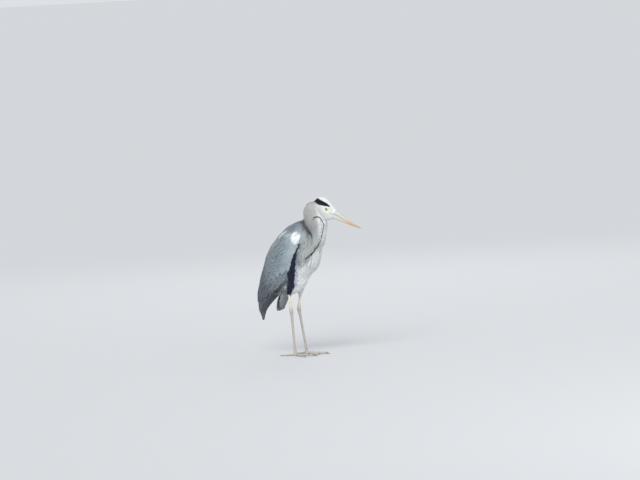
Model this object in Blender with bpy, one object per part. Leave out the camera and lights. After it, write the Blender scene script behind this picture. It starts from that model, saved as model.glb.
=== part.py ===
"""Grey heron, Ardea cinerea, life size: an adult at rest with its neck drawn in.

The bird faces +X, its own left is +Y, and it stands with its toes on z = 0.
Sizes are in millimetres here and become metres in vec(). The body is modelled
whole from lofts, melted into one form, and parted with thin cuts.
"""

import math

import bmesh
import bpy
from mathutils import Matrix, Vector

# ---- Driving dimensions, mm ------------------------------------------------
MM = 0.001
GAP = 0.35              # air left between two pieces that meet
CUT = 0.4               # width of the cuts that part the body
SNUG = 0.4              # how far a form is swelled to cut its seat in a neighbour
SNUG_SHARP = 0.5        # the same for a form with sharp edges
BODY_VOXEL = 4.0        # grain at which the lofts melt together
BODY_SOFTENING = 3      # rounds of smoothing after they have melted
BODY_FACES = 2250       # faces of the whole body before it is parted
FOOT_VOXEL = 1.5
FOOT_SOFTENING = 2
FOOT_FACES = 220

BILL_BASE = (175.0, 506.0)   # x, z of the middle of the bill's root
BILL_PITCH = 26.4            # degrees that head and bill point downwards
EYE_RADIUS = 8.0
EYE_BACK, EYE_UP, EYE_OUT = 31.5, 7.6, 11.8    # eye's centre from the bill's root

WING_THICK = 4.5
WING_SUNK = 2.4         # how far the trunk's surface lies inside the wing's
WING_SPLIT_Z = 226.0    # above it the wing, below it the tips of the primaries

TAIL_CLEAR = 13.0            # room kept between the tail's middle and the wing tips
TAIL_ARCH = 6.0              # how far its edges curve down
# Sections of the tail from rump to tip: x and z of its middle, half width, thickness
TAIL = ((-44, 256, 20, 10), (-54, 239, 21.5, 9), (-65, 219, 24, 8), (-73, 200, 27, 6.5),
        (-76.5, 180, 31, 5), (-77, 159, 34, 3.5))

HEEL_Z = 165.0
ANKLE_Z = 13.0
LEG_Y = 29.0
# x of each leg where it leaves the feathers, at the heel and at the foot
LEG_X = {"left": (-2.0, -12.5, 10.0), "right": (-16.5, -10.5, -4.0)}
LEG_TOP_Z = {"left": 214.0, "right": 219.0}
SIDE = {"left": 1, "right": -1}
# Sections of the thigh: height above its lower edge, half length, half width
THIGH = ((70, 14, 11), (58, 20, 16), (42, 22, 18), (28, 18, 16), (14, 12, 12), (4, 8, 8),
         (-2, 6.5, 6.5))
THIGH_LEAN_X, THIGH_LEAN_Y = 3.0, 4.0    # how far its top lies forwards and inwards
# Sections of the shank, from the feathers, and of the tarsus, from the heel:
# share of the length, half length, half width
SHANK = ((0, 4.8, 4.4), (0.4, 4.6, 4.2), (0.7, 4.8, 4.4), (0.86, 6.2, 5.2), (1, 7.2, 6.0))
SHANK_SEAT = 12.0       # how far the shank reaches up into the thigh
TARSUS = ((0, 7.2, 6.0), (0.05, 7.0, 5.8), (0.12, 5.6, 4.6), (0.25, 4.7, 3.8),
          (0.55, 4.4, 3.6), (0.85, 4.6, 3.8), (0.95, 5.4, 4.6), (1, 5.8, 5.0))

# Toes: angle outwards from straight ahead, length without the claw, claw
TOES = {
    "inner": (-19.0, 64.0, 12.0),
    "middle": (2.0, 84.0, 12.0),
    "outer": (30.0, 68.0, 11.0),
    "hind": (172.0, 48.0, 15.0),
}
TOE_R_ROOT, TOE_R_TIP = 4.1, 2.6
TOE_SWELL = 0.1         # the pads' swelling, as a share of the radius
TOE_SUNK = 0.5          # depth that the soles are cut flat
TOE_ARCH = 2.6          # how far a toe's root lies above its tip
CLAW_R_ROOT, CLAW_R_TIP = 1.9, 0.4
CLAW_SEAT = 1.0         # how far the claw reaches into the toe

# Horizontal sections of the feathered body, from shoulders to belly:
# height, middle in x, half length, half width, wing's front edge in x,
# angle from the spine at which the wing starts
BODY = (
    (446, 17, 61, 50, 30, 40),
    (435, 13, 70, 57, 43, 36),
    (420, 6.5, 75.5, 61.5, 50, 32),
    (403, -1, 84, 64, 47, 28),
    (389, -1, 95, 64.5, 40, 25),
    (371, -3, 104, 65, 33, 22),
    (356, -6, 109, 65, 27, 20),
    (335, -12, 111, 64.5, 15, 17),
    (306, -28, 107, 63, 5, 13),
    (277, -45, 101, 59, -1, 10),
    (263, -50, 100, 56, -12, 8),
    (252, -55, 98, 51, -41, 7),
    (230, -86, 71, 44, -68, 6),
    (209, -104, 56, 35, -97, 6),
    (173, -122, 40, 24, -131, 6),
    (150, -129, 29, 17, -141, 6),
    (126, -134, 17, 9, -145, 6),
)
# The trunk's own ends, past the rows it shares with the wings
TRUNK_TOP = ((489, 45, 7, 7), (485, 40, 16, 14), (480, 35, 25, 21), (474, 31, 34, 26),
             (466, 24, 46, 33), (456, 21.5, 53.5, 43))
TRUNK_LOW = ((240, -58, 88, 41), (228, -58, 72, 31), (214, -49, 22, 31), (200, -56, 18, 28.5),
             (186, -60, 15, 26), (176, -63, 12, 22), (166, -66.5, 7, 15))
TRUNK_SHARED_LOW_Z = 250
BREAST_NARROWING = 0.3
BUNDLE_Z = (246.0, 226.0)    # between these heights the wing fills in to the midline
BUNDLE_Y = 1.2               # half the slit between the two wings' tips
MANTLE_Z = 450.0             # above it the trunk has its own surface, past the wings
MANTLE_SUNK = 0.5
# Cuts that part the body, as sheets seen from the side: middle, direction, length, width.
# The breast cut runs on upwards behind the neck, where it lies against the mantle.
CUT_HEAD = ((123, 520), (54, -116), 128, 70)
CUT_NECK = ((108.5, 454), (1, 0), 87, 80)
CUT_BREAST = ((82, 430), (44, -69), 156, 130)
# The crest: x and z along its middle, half thickness, half width
CREST = ((112, 562, 3.5, 6), (102, 560.5, 4.2, 8), (90, 556, 3.8, 7), (77, 552, 3.2, 5.5),
         (64, 545, 2.6, 4), (54, 534.5, 1.4, 1.8))

# Neck and breast plumes, horizontal sections: height, back x, front x, half width
NECK = (
    (286, 0, 58, 30), (303, 5, 78, 37), (328, 15, 95, 43), (352, 30, 101.5, 46),
    (372, 46, 104, 43), (392, 62, 115.5, 36), (410, 74, 126.5, 28.5), (428, 81, 132, 24),
    (450, 73, 138.5, 23), (465, 63, 140.5, 24), (478, 54, 140, 25.5),
    (492, 48.5, 136, 27), (507, 47, 128, 27.5), (522, 49, 126, 27),
    (535, 55.5, 126, 24.5), (545, 65, 122, 20), (551.5, 80, 115, 10),
)
# Head, sections across its axis: distance behind the bill, top, bottom, half width
HEAD = (
    (-7, 10, -12, 5.5), (-3, 16, -20.5, 10.6), (4, 18, -24, 12.4), (11, 20.8, -28, 14.4),
    (20, 24.6, -32, 16.8), (31, 29.6, -34.5, 18.8), (45, 35, -35, 20.4),
    (60, 37, -34, 21), (74, 34, -32, 19.5), (86, 24.5, -25, 16), (93, 13, -16, 9),
)
# Bill, sections along it: distance, top of the culmen, bottom, half width
BILL = (
    (-6, 14.4, -17, 8.8), (8, 13.8, -17.2, 8.4), (28, 11.2, -13.6, 7.0),
    (52, 7.4, -10.6, 5.6), (76, 5.2, -7.4, 4.1), (98, 3.2, -4.2, 2.7),
    (112, 1.7, -1.9, 1.5), (118, 0.8, -0.8, 0.7),
)


# ---- Small helpers ---------------------------------------------------------

def vec(x, y, z):
    """A point given in millimetres, in metres."""
    return Vector((x * MM, y * MM, z * MM))


def smooth_rows(rows, steps):
    """Rows of numbers with steps - 1 more between each pair, on a smooth curve."""
    out = []
    for i in range(len(rows) - 1):
        p0 = rows[max(i - 1, 0)]
        p1, p2 = rows[i], rows[i + 1]
        p3 = rows[min(i + 2, len(rows) - 1)]
        for k in range(steps):
            t = k / steps
            out.append(tuple(
                0.5 * (2 * b + (c - a) * t + (2 * a - 5 * b + 4 * c - d) * t * t
                       + (3 * b - a - 3 * c + d) * t ** 3)
                for a, b, c, d in zip(p0, p1, p2, p3)))
    out.append(tuple(rows[-1]))
    return out


def material(name, colour, roughness, metallic=0.0):
    """A plain Principled material."""
    mat = bpy.data.materials.new(name)
    mat.use_nodes = True
    shader = mat.node_tree.nodes["Principled BSDF"]
    shader.inputs["Base Color"].default_value = (*colour, 1.0)
    shader.inputs["Roughness"].default_value = roughness
    shader.inputs["Metallic"].default_value = metallic
    mat.diffuse_color = (*colour, 1.0)
    return mat


def new_object(name, bm, mat=None, turn_faces=True):
    """An object of its own from a bmesh, with its faces turned outwards."""
    if turn_faces:
        bmesh.ops.recalc_face_normals(bm, faces=bm.faces[:])
    mesh = bpy.data.meshes.new(name)
    bm.to_mesh(mesh)
    bm.free()
    mesh.shade_smooth()
    mesh.set_sharp_from_angle(angle=math.radians(50))
    obj = bpy.data.objects.new(name, mesh)
    bpy.context.scene.collection.objects.link(obj)
    if mat:
        mesh.materials.append(mat)
    return obj


def loft(name, rings, mat=None):
    """A closed solid through rings of equally many points, capped at both ends."""
    bm = bmesh.new()
    made = [[bm.verts.new(p) for p in ring] for ring in rings]
    count = len(made[0])
    for low, high in zip(made, made[1:]):
        for i in range(count):
            j = (i + 1) % count
            bm.faces.new((low[i], low[j], high[j], high[i]))
    bm.faces.new(made[0])
    bm.faces.new(made[-1])
    bmesh.ops.triangulate(bm, faces=bm.faces[:])
    return new_object(name, bm, mat)


def apply_modifiers(obj):
    """Replace an object's mesh by what its modifiers make of it."""
    graph = bpy.context.evaluated_depsgraph_get()
    mesh = bpy.data.meshes.new_from_object(obj.evaluated_get(graph))
    old = obj.data
    obj.modifiers.clear()
    obj.data = mesh
    bpy.data.meshes.remove(old)


def cut_away(obj, cutter):
    """Cut an object with another, and drop the other."""
    mod = obj.modifiers.new("cut", "BOOLEAN")
    mod.operation = "DIFFERENCE"
    mod.solver = "EXACT"
    mod.object = cutter
    apply_modifiers(obj)
    bpy.data.objects.remove(cutter)


def inflated(obj, by):
    """A copy of an object with its skin moved outwards."""
    mesh = obj.data.copy()
    bm = bmesh.new()
    bm.from_mesh(mesh)
    bm.normal_update()
    moves = [(v, v.normal * by * MM) for v in bm.verts]
    for vert, move in moves:
        vert.co += move
    bm.to_mesh(mesh)
    bm.free()
    copy = bpy.data.objects.new(obj.name + "_cutter", mesh)
    bpy.context.scene.collection.objects.link(copy)
    return copy


def melt(name, pieces, voxel, smoothing, faces, mat):
    """Melt overlapping solids into one form of about the wanted number of faces."""
    bm = bmesh.new()
    for piece in pieces:
        bm.from_mesh(piece.data)
        bpy.data.objects.remove(piece)
    whole = new_object(name, bm, mat)
    remesh = whole.modifiers.new("melt", "REMESH")
    remesh.mode = "VOXEL"
    remesh.voxel_size = voxel * MM
    soft = whole.modifiers.new("soften", "SMOOTH")
    soft.factor = 0.5
    soft.iterations = smoothing
    apply_modifiers(whole)
    triangles = sum(len(p.vertices) - 2 for p in whole.data.polygons)
    thin = whole.modifiers.new("thin", "DECIMATE")
    thin.ratio = min(1.0, faces / triangles)
    apply_modifiers(whole)
    return whole


def slab(middle, along, length, width):
    """A thin cutting sheet across the bird; middle and along are (x, z)."""
    unit = Vector((along[0], 0, along[1])).normalized()
    across = Vector((0, 1, 0))
    bm = bmesh.new()
    bmesh.ops.create_cube(bm, size=1.0)
    turn = Matrix((unit, across, unit.cross(across))).transposed().to_4x4()
    size = Matrix.Diagonal((length * MM, width * MM, CUT * MM, 1.0))
    place = Matrix.Translation(vec(middle[0], 0, middle[1]))
    bmesh.ops.transform(bm, matrix=place @ turn @ size, verts=bm.verts)
    return new_object("cut", bm)


def part_loose(obj, least):
    """Split an object into its closed bodies, without crumbs of fewer faces than least."""
    bm = bmesh.new()
    bm.from_mesh(obj.data)
    bpy.data.objects.remove(obj)
    bm.verts.ensure_lookup_table()
    owner = {}
    for first in bm.verts:
        if first.index in owner:
            continue
        owner[first.index] = first.index
        stack = [first]
        while stack:
            for edge in stack.pop().link_edges:
                for vert in edge.verts:
                    if vert.index not in owner:
                        owner[vert.index] = first.index
                        stack.append(vert)
    bodies = []
    for root in sorted(set(owner.values())):
        faces = [f for f in bm.faces if owner[f.verts[0].index] == root]
        if len(faces) < least:
            continue
        piece = bmesh.new()
        copies = {v.index: piece.verts.new(v.co) for v in bm.verts if owner[v.index] == root}
        for face in faces:
            piece.faces.new([copies[v.index] for v in face.verts])
        bodies.append(piece)
    bm.free()
    return bodies


def middle_of(bm):
    """The mean place of a mesh's points, in mm."""
    total = sum((v.co for v in bm.verts), Vector())
    return total / len(bm.verts) / MM


# ---- The body --------------------------------------------------------------

def body_point(row, angle, inset=0.0):
    """A point of a horizontal section; angle 0 is the spine, 180 the breast."""
    z, middle, length, width = row[:4]
    turn = math.radians(angle)
    narrow = 1 - BREAST_NARROWING * max(0.0, -math.cos(turn)) ** 2
    x = middle - (length - inset) * math.cos(turn)
    y = (width - inset) * math.sin(turn) * narrow
    return x, y, z


def trunk_loft():
    """The trunk from the mantle to the belly."""
    shared = [row[:4] for row in BODY if row[0] >= TRUNK_SHARED_LOW_Z]
    rings = []
    for row in smooth_rows(TRUNK_TOP + tuple(shared) + TRUNK_LOW, 2):
        inset = WING_SUNK if row[0] < MANTLE_Z else MANTLE_SUNK
        rings.append([vec(*body_point(row, a, inset)) for a in range(0, 360, 10)])
    return loft("trunk_form", rings)


def neck_loft():
    """The folded neck, from the breast over the hump to the nape."""
    rings = []
    for z, back, front, width in smooth_rows(NECK, 2):
        middle, length = (back + front) / 2, (front - back) / 2
        rings.append([
            vec(middle + length * math.cos(math.radians(a)),
                width * math.sin(math.radians(a)), z)
            for a in range(0, 360, 12)])
    return loft("neck_form", rings)


def head_point(along, y, up):
    """A point beside the head's axis; along grows from the bill's root to its tip."""
    turn = math.radians(BILL_PITCH)
    x = BILL_BASE[0] + along * math.cos(turn) + up * math.sin(turn)
    z = BILL_BASE[1] - along * math.sin(turn) + up * math.cos(turn)
    return vec(x, y, z)


def head_loft():
    """The head behind the bill."""
    rings = []
    for back, top, bottom, width in smooth_rows(HEAD, 2):
        centre, depth = (top + bottom) / 2, (top - bottom) / 2
        rings.append([
            head_point(-back, width * math.sin(math.radians(a)),
                       centre + depth * math.cos(math.radians(a)))
            for a in range(0, 360, 12)])
    return loft("head_form", rings)


def tube(name, points, radii, sides=12, mat=None, level=False):
    """A round tapering limb through points, all in mm; radii may be (x, y) pairs.

    Its sections stand square to its path, or lie level where level is set."""
    rings = []
    centres = [Vector(p) for p in points]
    for i, centre in enumerate(centres):
        before = centres[max(i - 1, 0)]
        after = centres[min(i + 1, len(centres) - 1)]
        axis = Vector((0, 0, 1)) if level else (after - before).normalized()
        side = Vector((0, 1, 0))
        if abs(axis.dot(side)) > 0.9:
            side = Vector((1, 0, 0))
        front = side.cross(axis).normalized()
        side = axis.cross(front)
        rx, ry = radii[i] if isinstance(radii[i], tuple) else (radii[i], radii[i])
        rings.append([
            (centre + front * rx * math.cos(math.tau * k / sides)
             + side * ry * math.sin(math.tau * k / sides)) * MM
            for k in range(sides)])
    return loft(name, rings, mat)


def thigh(side, mat):
    """The feathered upper part of a leg, its top set into the belly."""
    sign = SIDE[side]
    reach = THIGH[0][0]
    points = [(LEG_X[side][0] + THIGH_LEAN_X * h / reach,
               sign * (LEG_Y - THIGH_LEAN_Y * h / reach), LEG_TOP_Z[side] + h)
              for h, _, _ in THIGH]
    sizes = [row[1:] for row in THIGH]
    return tube("thigh_" + side, points, sizes, 16, mat, level=True)


# ---- Wings and tail --------------------------------------------------------

def tail_back_x(z):
    """How far back the tail's upper side reaches at a height, in x."""
    for (x0, z0, *_), (x1, z1, *_) in zip(TAIL, TAIL[1:]):
        if z1 <= z <= z0:
            return x0 + (x1 - x0) * (z0 - z) / (z0 - z1) - TAIL_CLEAR
    return (TAIL[0] if z > TAIL[0][1] else TAIL[-1])[0] - TAIL_CLEAR


def wing_and_tip_rows():
    """The body's sections shared out between the wing and the primaries' tips."""
    upper = [row for row in BODY if row[0] > WING_SPLIT_Z]
    lower = [row for row in smooth_rows(BODY, 2) if row[0] < WING_SPLIT_Z]
    share = (upper[-1][0] - WING_SPLIT_Z) / (upper[-1][0] - lower[0][0])
    split = [a + (b - a) * share for a, b in zip(upper[-1], lower[0])]
    upper.append((WING_SPLIT_Z + GAP / 2, *split[1:]))
    lower.insert(0, (WING_SPLIT_Z - GAP / 2, *split[1:]))
    return upper, lower


def wing_plate(name, side, rows, mat):
    """A shell over the side of the trunk, with blunt edges all round."""
    sign = SIDE[side]
    steps = 7
    rings = []
    for row in rows:
        z, middle, length, width, front_x, first = row
        fill = (BUNDLE_Z[0] - z) / (BUNDLE_Z[0] - BUNDLE_Z[1])
        fill = max(0.0, min(1.0, fill))
        reach = max(-1.0, min(1.0, (middle - front_x) / length))
        last = max(math.degrees(math.acos(reach)), first + 20)
        angles = [first + (last - first) * k / steps for k in range(steps + 1)]
        outer = [body_point(row, a) for a in angles]
        inner = []
        for x, y, _ in (body_point(row, a, WING_THICK) for a in reversed(angles)):
            x += (min(x, tail_back_x(z)) - x) * fill
            inner.append((x, y + (BUNDLE_Y - y) * fill, z))
        rings.append([vec(x, sign * y, z) for x, y, z in outer + inner])
    return loft(name, rings, mat)


def tail_plate(mat):
    """The closed tail: a shallow vault of feathers from the rump to its blunt tip."""
    rings = []
    across = [k / 4 for k in range(-4, 5)]
    middles = [Vector((x, 0, z)) for x, z, _, _ in TAIL]
    for i, (_, _, half, thick) in enumerate(TAIL):
        centre = middles[i]
        along = middles[min(i + 1, len(TAIL) - 1)] - middles[max(i - 1, 0)]
        normal = Vector((along.z, 0, -along.x)).normalized()
        upper = [centre + Vector((0, half * s, 0)) + normal * (thick / 2 - TAIL_ARCH * s * s)
                 for s in across]
        lower = [centre + Vector((0, half * s, 0)) - normal * (thick / 2 + TAIL_ARCH * s * s)
                 for s in reversed(across)]
        rings.append([p * MM for p in upper + lower])
    return loft("tail", rings, mat)


# ---- Bill, eyes and crest --------------------------------------------------

def bill_half(name, upper, mat):
    """One mandible: the bill above or below the line where it shuts."""
    rings = []
    for along, top, bottom, width in BILL:
        reach = top if upper else bottom
        edge = GAP / 2 if upper else -GAP / 2
        ring = []
        for k in range(9):
            turn = math.pi * k / 8
            ring.append(head_point(along, width * math.cos(turn),
                                   edge + (reach - edge) * math.sin(turn)))
        rings.append(ring)
    return loft(name, rings, mat)


def ball(name, centre, radius, mat=None):
    """A sphere; centre in metres, radius in mm."""
    bm = bmesh.new()
    bmesh.ops.create_uvsphere(bm, u_segments=12, v_segments=8, radius=radius * MM)
    bmesh.ops.translate(bm, verts=bm.verts, vec=centre)
    return new_object(name, bm, mat)


def crest_plume(mat):
    """The black nape feathers that lie back over the hump of the neck."""
    points = [(x, 0, z) for x, z, _, _ in CREST]
    sizes = [row[2:] for row in CREST]
    return tube("crest", points, sizes, 10, mat)


# ---- Legs ------------------------------------------------------------------

def leg_pieces(side, shank_mat, tarsus_mat):
    """The tarsus and the bare shank, which meet at the heel; gives back the shank."""
    y = SIDE[side] * LEG_Y
    top_x, heel_x, foot_x = LEG_X[side]
    heel, top = HEEL_Z + GAP / 2, LEG_TOP_Z[side] + SHANK_SEAT
    points = [(top_x + (heel_x - top_x) * t, y, top + (heel - top) * t) for t, _, _ in SHANK]
    sizes = [row[1:] for row in SHANK]
    shank = tube("shank_" + side, points, sizes, 12, shank_mat, level=True)
    heel, ankle = HEEL_Z - GAP / 2, ANKLE_Z
    points = [(heel_x + (foot_x - heel_x) * t, y, heel + (ankle - heel) * t)
              for t, _, _ in TARSUS]
    sizes = [row[1:] for row in TARSUS]
    tube("tarsus_" + side, points, sizes, 12, tarsus_mat, level=True)
    return shank


def toe_path(side, toe):
    """Where a toe starts and ends on the floor, and its direction."""
    sign = SIDE[side]
    angle, length, _ = TOES[toe]
    turn = math.radians(angle) * sign
    heading = Vector((math.cos(turn), math.sin(turn), 0))
    start = Vector((LEG_X[side][2], sign * LEG_Y, 0))
    return start, start + heading * length, heading


def foot(side, mat):
    """The four toes of a foot and their common ball, with flat soles."""
    sign = SIDE[side]
    x = LEG_X[side][2]
    y = sign * LEG_Y
    pieces = [tube("ball", [(x - 0.5, y, ANKLE_Z - GAP), (x, y, 8), (x + 1, y, -1)],
                   [(5.8, 5.0), (7.2, 6.6), (7.0, 6.6)], level=True)]
    for toe in TOES:
        start, end, _ = toe_path(side, toe)
        points, radii = [], []
        steps = 9
        for k in range(steps):
            t = k / (steps - 1)
            swell = 1 + TOE_SWELL * math.cos(t * math.tau * 3)
            radius = (TOE_R_ROOT + (TOE_R_TIP - TOE_R_ROOT) * t) * swell
            centre = start.lerp(end, t)
            points.append((centre.x, centre.y, radius - TOE_SUNK + TOE_ARCH * (1 - t) ** 3))
            radii.append(radius)
        pieces.append(tube("toe", points, radii, 10))
    made = melt("foot_" + side, pieces, FOOT_VOXEL, FOOT_SOFTENING, FOOT_FACES, mat)
    bm = bmesh.new()
    bm.from_mesh(made.data)
    for height, keep_above in ((0.0, True), (ANKLE_Z - 2 * GAP, False)):
        geometry = bm.verts[:] + bm.edges[:] + bm.faces[:]
        cut = bmesh.ops.bisect_plane(
            bm, geom=geometry, dist=1e-7, plane_co=(0, 0, height * MM), plane_no=(0, 0, 1),
            clear_inner=keep_above, clear_outer=not keep_above)
        edges = [g for g in cut["geom_cut"] if isinstance(g, bmesh.types.BMEdge)]
        bmesh.ops.holes_fill(bm, edges=edges, sides=0)
    bmesh.ops.triangulate(bm, faces=bm.faces[:])
    bm.to_mesh(made.data)
    bm.free()
    return made


def claw(side, toe, mat):
    """A curved claw that carries on from its toe."""
    _, end, heading = toe_path(side, toe)
    length = TOES[toe][2]
    points, radii = [], []
    for t in (0.0, 0.5, 1.0):
        place = end + heading * (length * t - CLAW_SEAT)
        points.append((place.x, place.y, 2.3 + 1.2 * t - 2.3 * t * t))
        radii.append(CLAW_R_ROOT + (CLAW_R_TIP - CLAW_R_ROOT) * t)
    return tube("claw_" + toe + "_" + side, points, radii, 6, mat)


# ---- Putting the bird together ---------------------------------------------

def build():
    for old in list(bpy.data.objects):
        bpy.data.objects.remove(old)

    white = material("white_feather", (0.78, 0.80, 0.80), 0.8)
    pale = material("neck_feather", (0.62, 0.61, 0.60), 0.8)
    grey = material("back_feather", (0.28, 0.32, 0.36), 0.75)
    wing_grey = material("wing_feather", (0.33, 0.38, 0.42), 0.7)
    slate = material("flight_feather", (0.10, 0.12, 0.15), 0.65)
    tail_grey = material("tail_feather", (0.26, 0.29, 0.33), 0.7)
    black = material("crest_feather", (0.03, 0.035, 0.05), 0.6)
    horn_top = material("bill_top", (0.50, 0.44, 0.36), 0.4)
    horn_low = material("bill_low", (0.62, 0.48, 0.26), 0.4)
    iris = material("eye", (0.75, 0.58, 0.10), 0.1)
    bare = material("bare_leg", (0.50, 0.47, 0.38), 0.55)
    scute = material("scaled_leg", (0.34, 0.33, 0.30), 0.55)
    nail = material("claw", (0.10, 0.09, 0.08), 0.45)

    body = melt("body", [trunk_loft(), neck_loft(), head_loft()],
                BODY_VOXEL, BODY_SOFTENING, BODY_FACES, pale)
    crest = crest_plume(black)
    cut_away(crest, inflated(body, SNUG))
    plume = max(part_loose(crest, 20), key=lambda piece: len(piece.faces))
    new_object("crest", plume, black, turn_faces=False)
    cut_away(body, inflated(tail_plate(tail_grey), SNUG_SHARP))

    upper, lower = wing_and_tip_rows()
    for side, sign in SIDE.items():
        wing = wing_plate("wing_" + side, side, upper, wing_grey)
        tips = wing_plate("primaries_" + side, side, lower, slate)
        leg = thigh(side, white)
        shank = leg_pieces(side, bare, scute)
        cut_away(body, inflated(wing, SNUG_SHARP))
        cut_away(body, inflated(tips, SNUG_SHARP))
        cut_away(body, inflated(leg, SNUG))
        cut_away(leg, inflated(wing, SNUG_SHARP))
        cut_away(leg, inflated(shank, SNUG))

        centre = head_point(-EYE_BACK, sign * EYE_OUT, EYE_UP)
        ball("eye_" + side, centre, EYE_RADIUS, iris)
        cut_away(body, ball("socket", centre, EYE_RADIUS + GAP))

        toes = foot(side, scute)
        for toe in TOES:
            cut_away(toes, inflated(claw(side, toe, nail), SNUG))

    cut_away(body, inflated(bill_half("bill_upper", True, horn_top), SNUG_SHARP))
    cut_away(body, inflated(bill_half("bill_lower", False, horn_low), SNUG_SHARP))

    for sheet in (CUT_HEAD, CUT_NECK, CUT_BREAST):
        cut_away(body, slab(*sheet))
    parts = sorted(part_loose(body, 60), key=lambda piece: middle_of(piece).z)
    names = (("trunk", grey), ("neck_lower", pale), ("neck_upper", pale), ("head", white))
    for piece, (name, mat) in zip(parts, names, strict=True):
        new_object(name, piece, mat, turn_faces=False)


def centre_on_floor():
    """Move the bird so that the middle of its box's floor is the origin."""
    meshes = [obj.data for obj in bpy.data.objects if obj.type == "MESH"]
    points = [vert.co for mesh in meshes for vert in mesh.vertices]
    middle = [(min(p[i] for p in points) + max(p[i] for p in points)) / 2 for i in (0, 1)]
    for mesh in meshes:
        mesh.transform(Matrix.Translation((-middle[0], -middle[1], 0)))


build()
centre_on_floor()
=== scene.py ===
# %% [markdown]
# # A grey heron, life size
#
# The bird stands at rest on both feet, with the neck folded down between its
# shoulders. The solid model gives its outline. This script dresses it: one skin
# under the feathers, the bare face and legs, a two-part bill, eyes with lids,
# claws, and more than fifteen thousand feathers laid in the direction they grow.
#
# Everything is placed from the solid model, which is loaded first and never
# changed.

# %% The frame and the libraries
import math

import bmesh
import bpy
import numpy as np
from mathutils import Matrix, Vector
from mathutils.bvhtree import BVHTree
from mathutils.kdtree import KDTree


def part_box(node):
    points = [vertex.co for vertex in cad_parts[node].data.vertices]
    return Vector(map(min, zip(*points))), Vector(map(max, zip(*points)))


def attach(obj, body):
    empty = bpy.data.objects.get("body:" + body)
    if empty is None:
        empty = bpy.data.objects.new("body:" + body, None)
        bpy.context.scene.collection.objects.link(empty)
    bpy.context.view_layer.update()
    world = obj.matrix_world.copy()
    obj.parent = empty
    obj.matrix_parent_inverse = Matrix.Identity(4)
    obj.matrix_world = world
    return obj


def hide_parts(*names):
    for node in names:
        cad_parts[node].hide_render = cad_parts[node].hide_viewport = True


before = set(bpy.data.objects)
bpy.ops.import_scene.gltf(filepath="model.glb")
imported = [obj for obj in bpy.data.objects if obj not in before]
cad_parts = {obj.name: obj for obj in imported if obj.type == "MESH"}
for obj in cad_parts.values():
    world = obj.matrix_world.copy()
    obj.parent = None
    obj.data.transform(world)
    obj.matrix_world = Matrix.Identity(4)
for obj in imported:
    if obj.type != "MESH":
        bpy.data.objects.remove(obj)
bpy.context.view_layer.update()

MM = 0.001
SIDES = {"left": 1, "right": -1}

# %% [markdown]
# ## A millimetre frame on the bird
#
# Anatomy is easier to write in millimetres from a plumb line through the body
# than in metres from the middle of a box. The line is set from the eyes, whose
# place the solid model gives. The head has its own two axes, along the bill and
# square to it, because the face is laid out on the bill and not on the floor.

# %% Places in millimetres
EYE_AHEAD = 150.2       # the eyes' distance ahead of the plumb line
EYE_FROM_BILL = (-31.5, 7.6)     # from the bill's root: along the head's axis, and above it
HEAD_PITCH = 26.4       # degrees that the bill points down

eye_low, eye_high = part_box("eye_left")
eye_middle = (eye_low + eye_high) / 2
EYE_RADIUS = (eye_high.z - eye_low.z) / 2 / MM
PLUMB = np.array((eye_middle.x - EYE_AHEAD * MM, 0.0, 0.0))
EYE_MM = {s: np.array((EYE_AHEAD, k * eye_middle.y / MM, eye_middle.z / MM))
          for s, k in SIDES.items()}
COS, SIN = math.cos(math.radians(HEAD_PITCH)), math.sin(math.radians(HEAD_PITCH))
BILL_ROOT = (EYE_AHEAD - EYE_FROM_BILL[0] * COS - EYE_FROM_BILL[1] * SIN,
             EYE_MM["left"][2] + EYE_FROM_BILL[0] * SIN - EYE_FROM_BILL[1] * COS)


def to_mm(metres):
    """Places in metres as millimetres from the plumb line."""
    return (np.asarray(metres, float) - PLUMB) / MM


def to_m(places):
    """The way back, from millimetres to metres."""
    return np.asarray(places, float) * MM + PLUMB


def head_axes(p):
    """How far places are along the bill's axis from its root, and above it."""
    dx, dz = p[..., 0] - BILL_ROOT[0], p[..., 2] - BILL_ROOT[1]
    return dx * COS - dz * SIN, dx * SIN + dz * COS


def head_place(along, y, up):
    """A place in millimetres from the head's own axes."""
    return np.stack(np.broadcast_arrays(
        BILL_ROOT[0] + along * COS + up * SIN, y,
        BILL_ROOT[1] - along * SIN + up * COS), axis=-1)


print("eyes at", EYE_MM["left"].round(1), "bill's root at", np.round(BILL_ROOT, 1))

# %% [markdown]
# ## Camera, floor and light
#
# A long lens from a little above eye height, as a bird is watched across
# water. The camera leans a few degrees, so the bird seems to lean too. Large
# soft lamps stand all round, because plumage is read from its form shadows and
# hard light would turn every vane into a bright flake.

# %% The camera
AZIMUTH, ELEVATION, LEAN = math.radians(30), math.radians(4.5), math.radians(3.3)
DISTANCE = 12.0         # metres
LENS = 187.5            # mm, on a 36 mm sensor
SIGHT = 900             # metres that the camera sees, past the floor's end
AIM_RIGHT, AIM_UP = 0.094, 0.409     # where the picture's middle is, in metres

right = Vector((math.cos(AZIMUTH), math.sin(AZIMUTH), 0))
back = Vector((math.sin(AZIMUTH) * math.cos(ELEVATION),
               -math.cos(AZIMUTH) * math.cos(ELEVATION), math.sin(ELEVATION)))
up = back.cross(right)
across = right * math.cos(LEAN) - up * math.sin(LEAN)
upward = right * math.sin(LEAN) + up * math.cos(LEAN)
aim = right * AIM_RIGHT + up * AIM_UP + Vector(PLUMB)

camera = bpy.data.objects.new("camera", bpy.data.cameras.new("camera"))
camera.data.lens = LENS
camera.data.clip_end = SIGHT
camera.matrix_world = Matrix.Translation(aim + back * DISTANCE) @ Matrix(
    (across, upward, back)).transposed().to_4x4()
bpy.context.scene.collection.objects.link(camera)
bpy.context.scene.camera = camera
print("camera", [round(v, 3) for v in camera.location])

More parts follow.
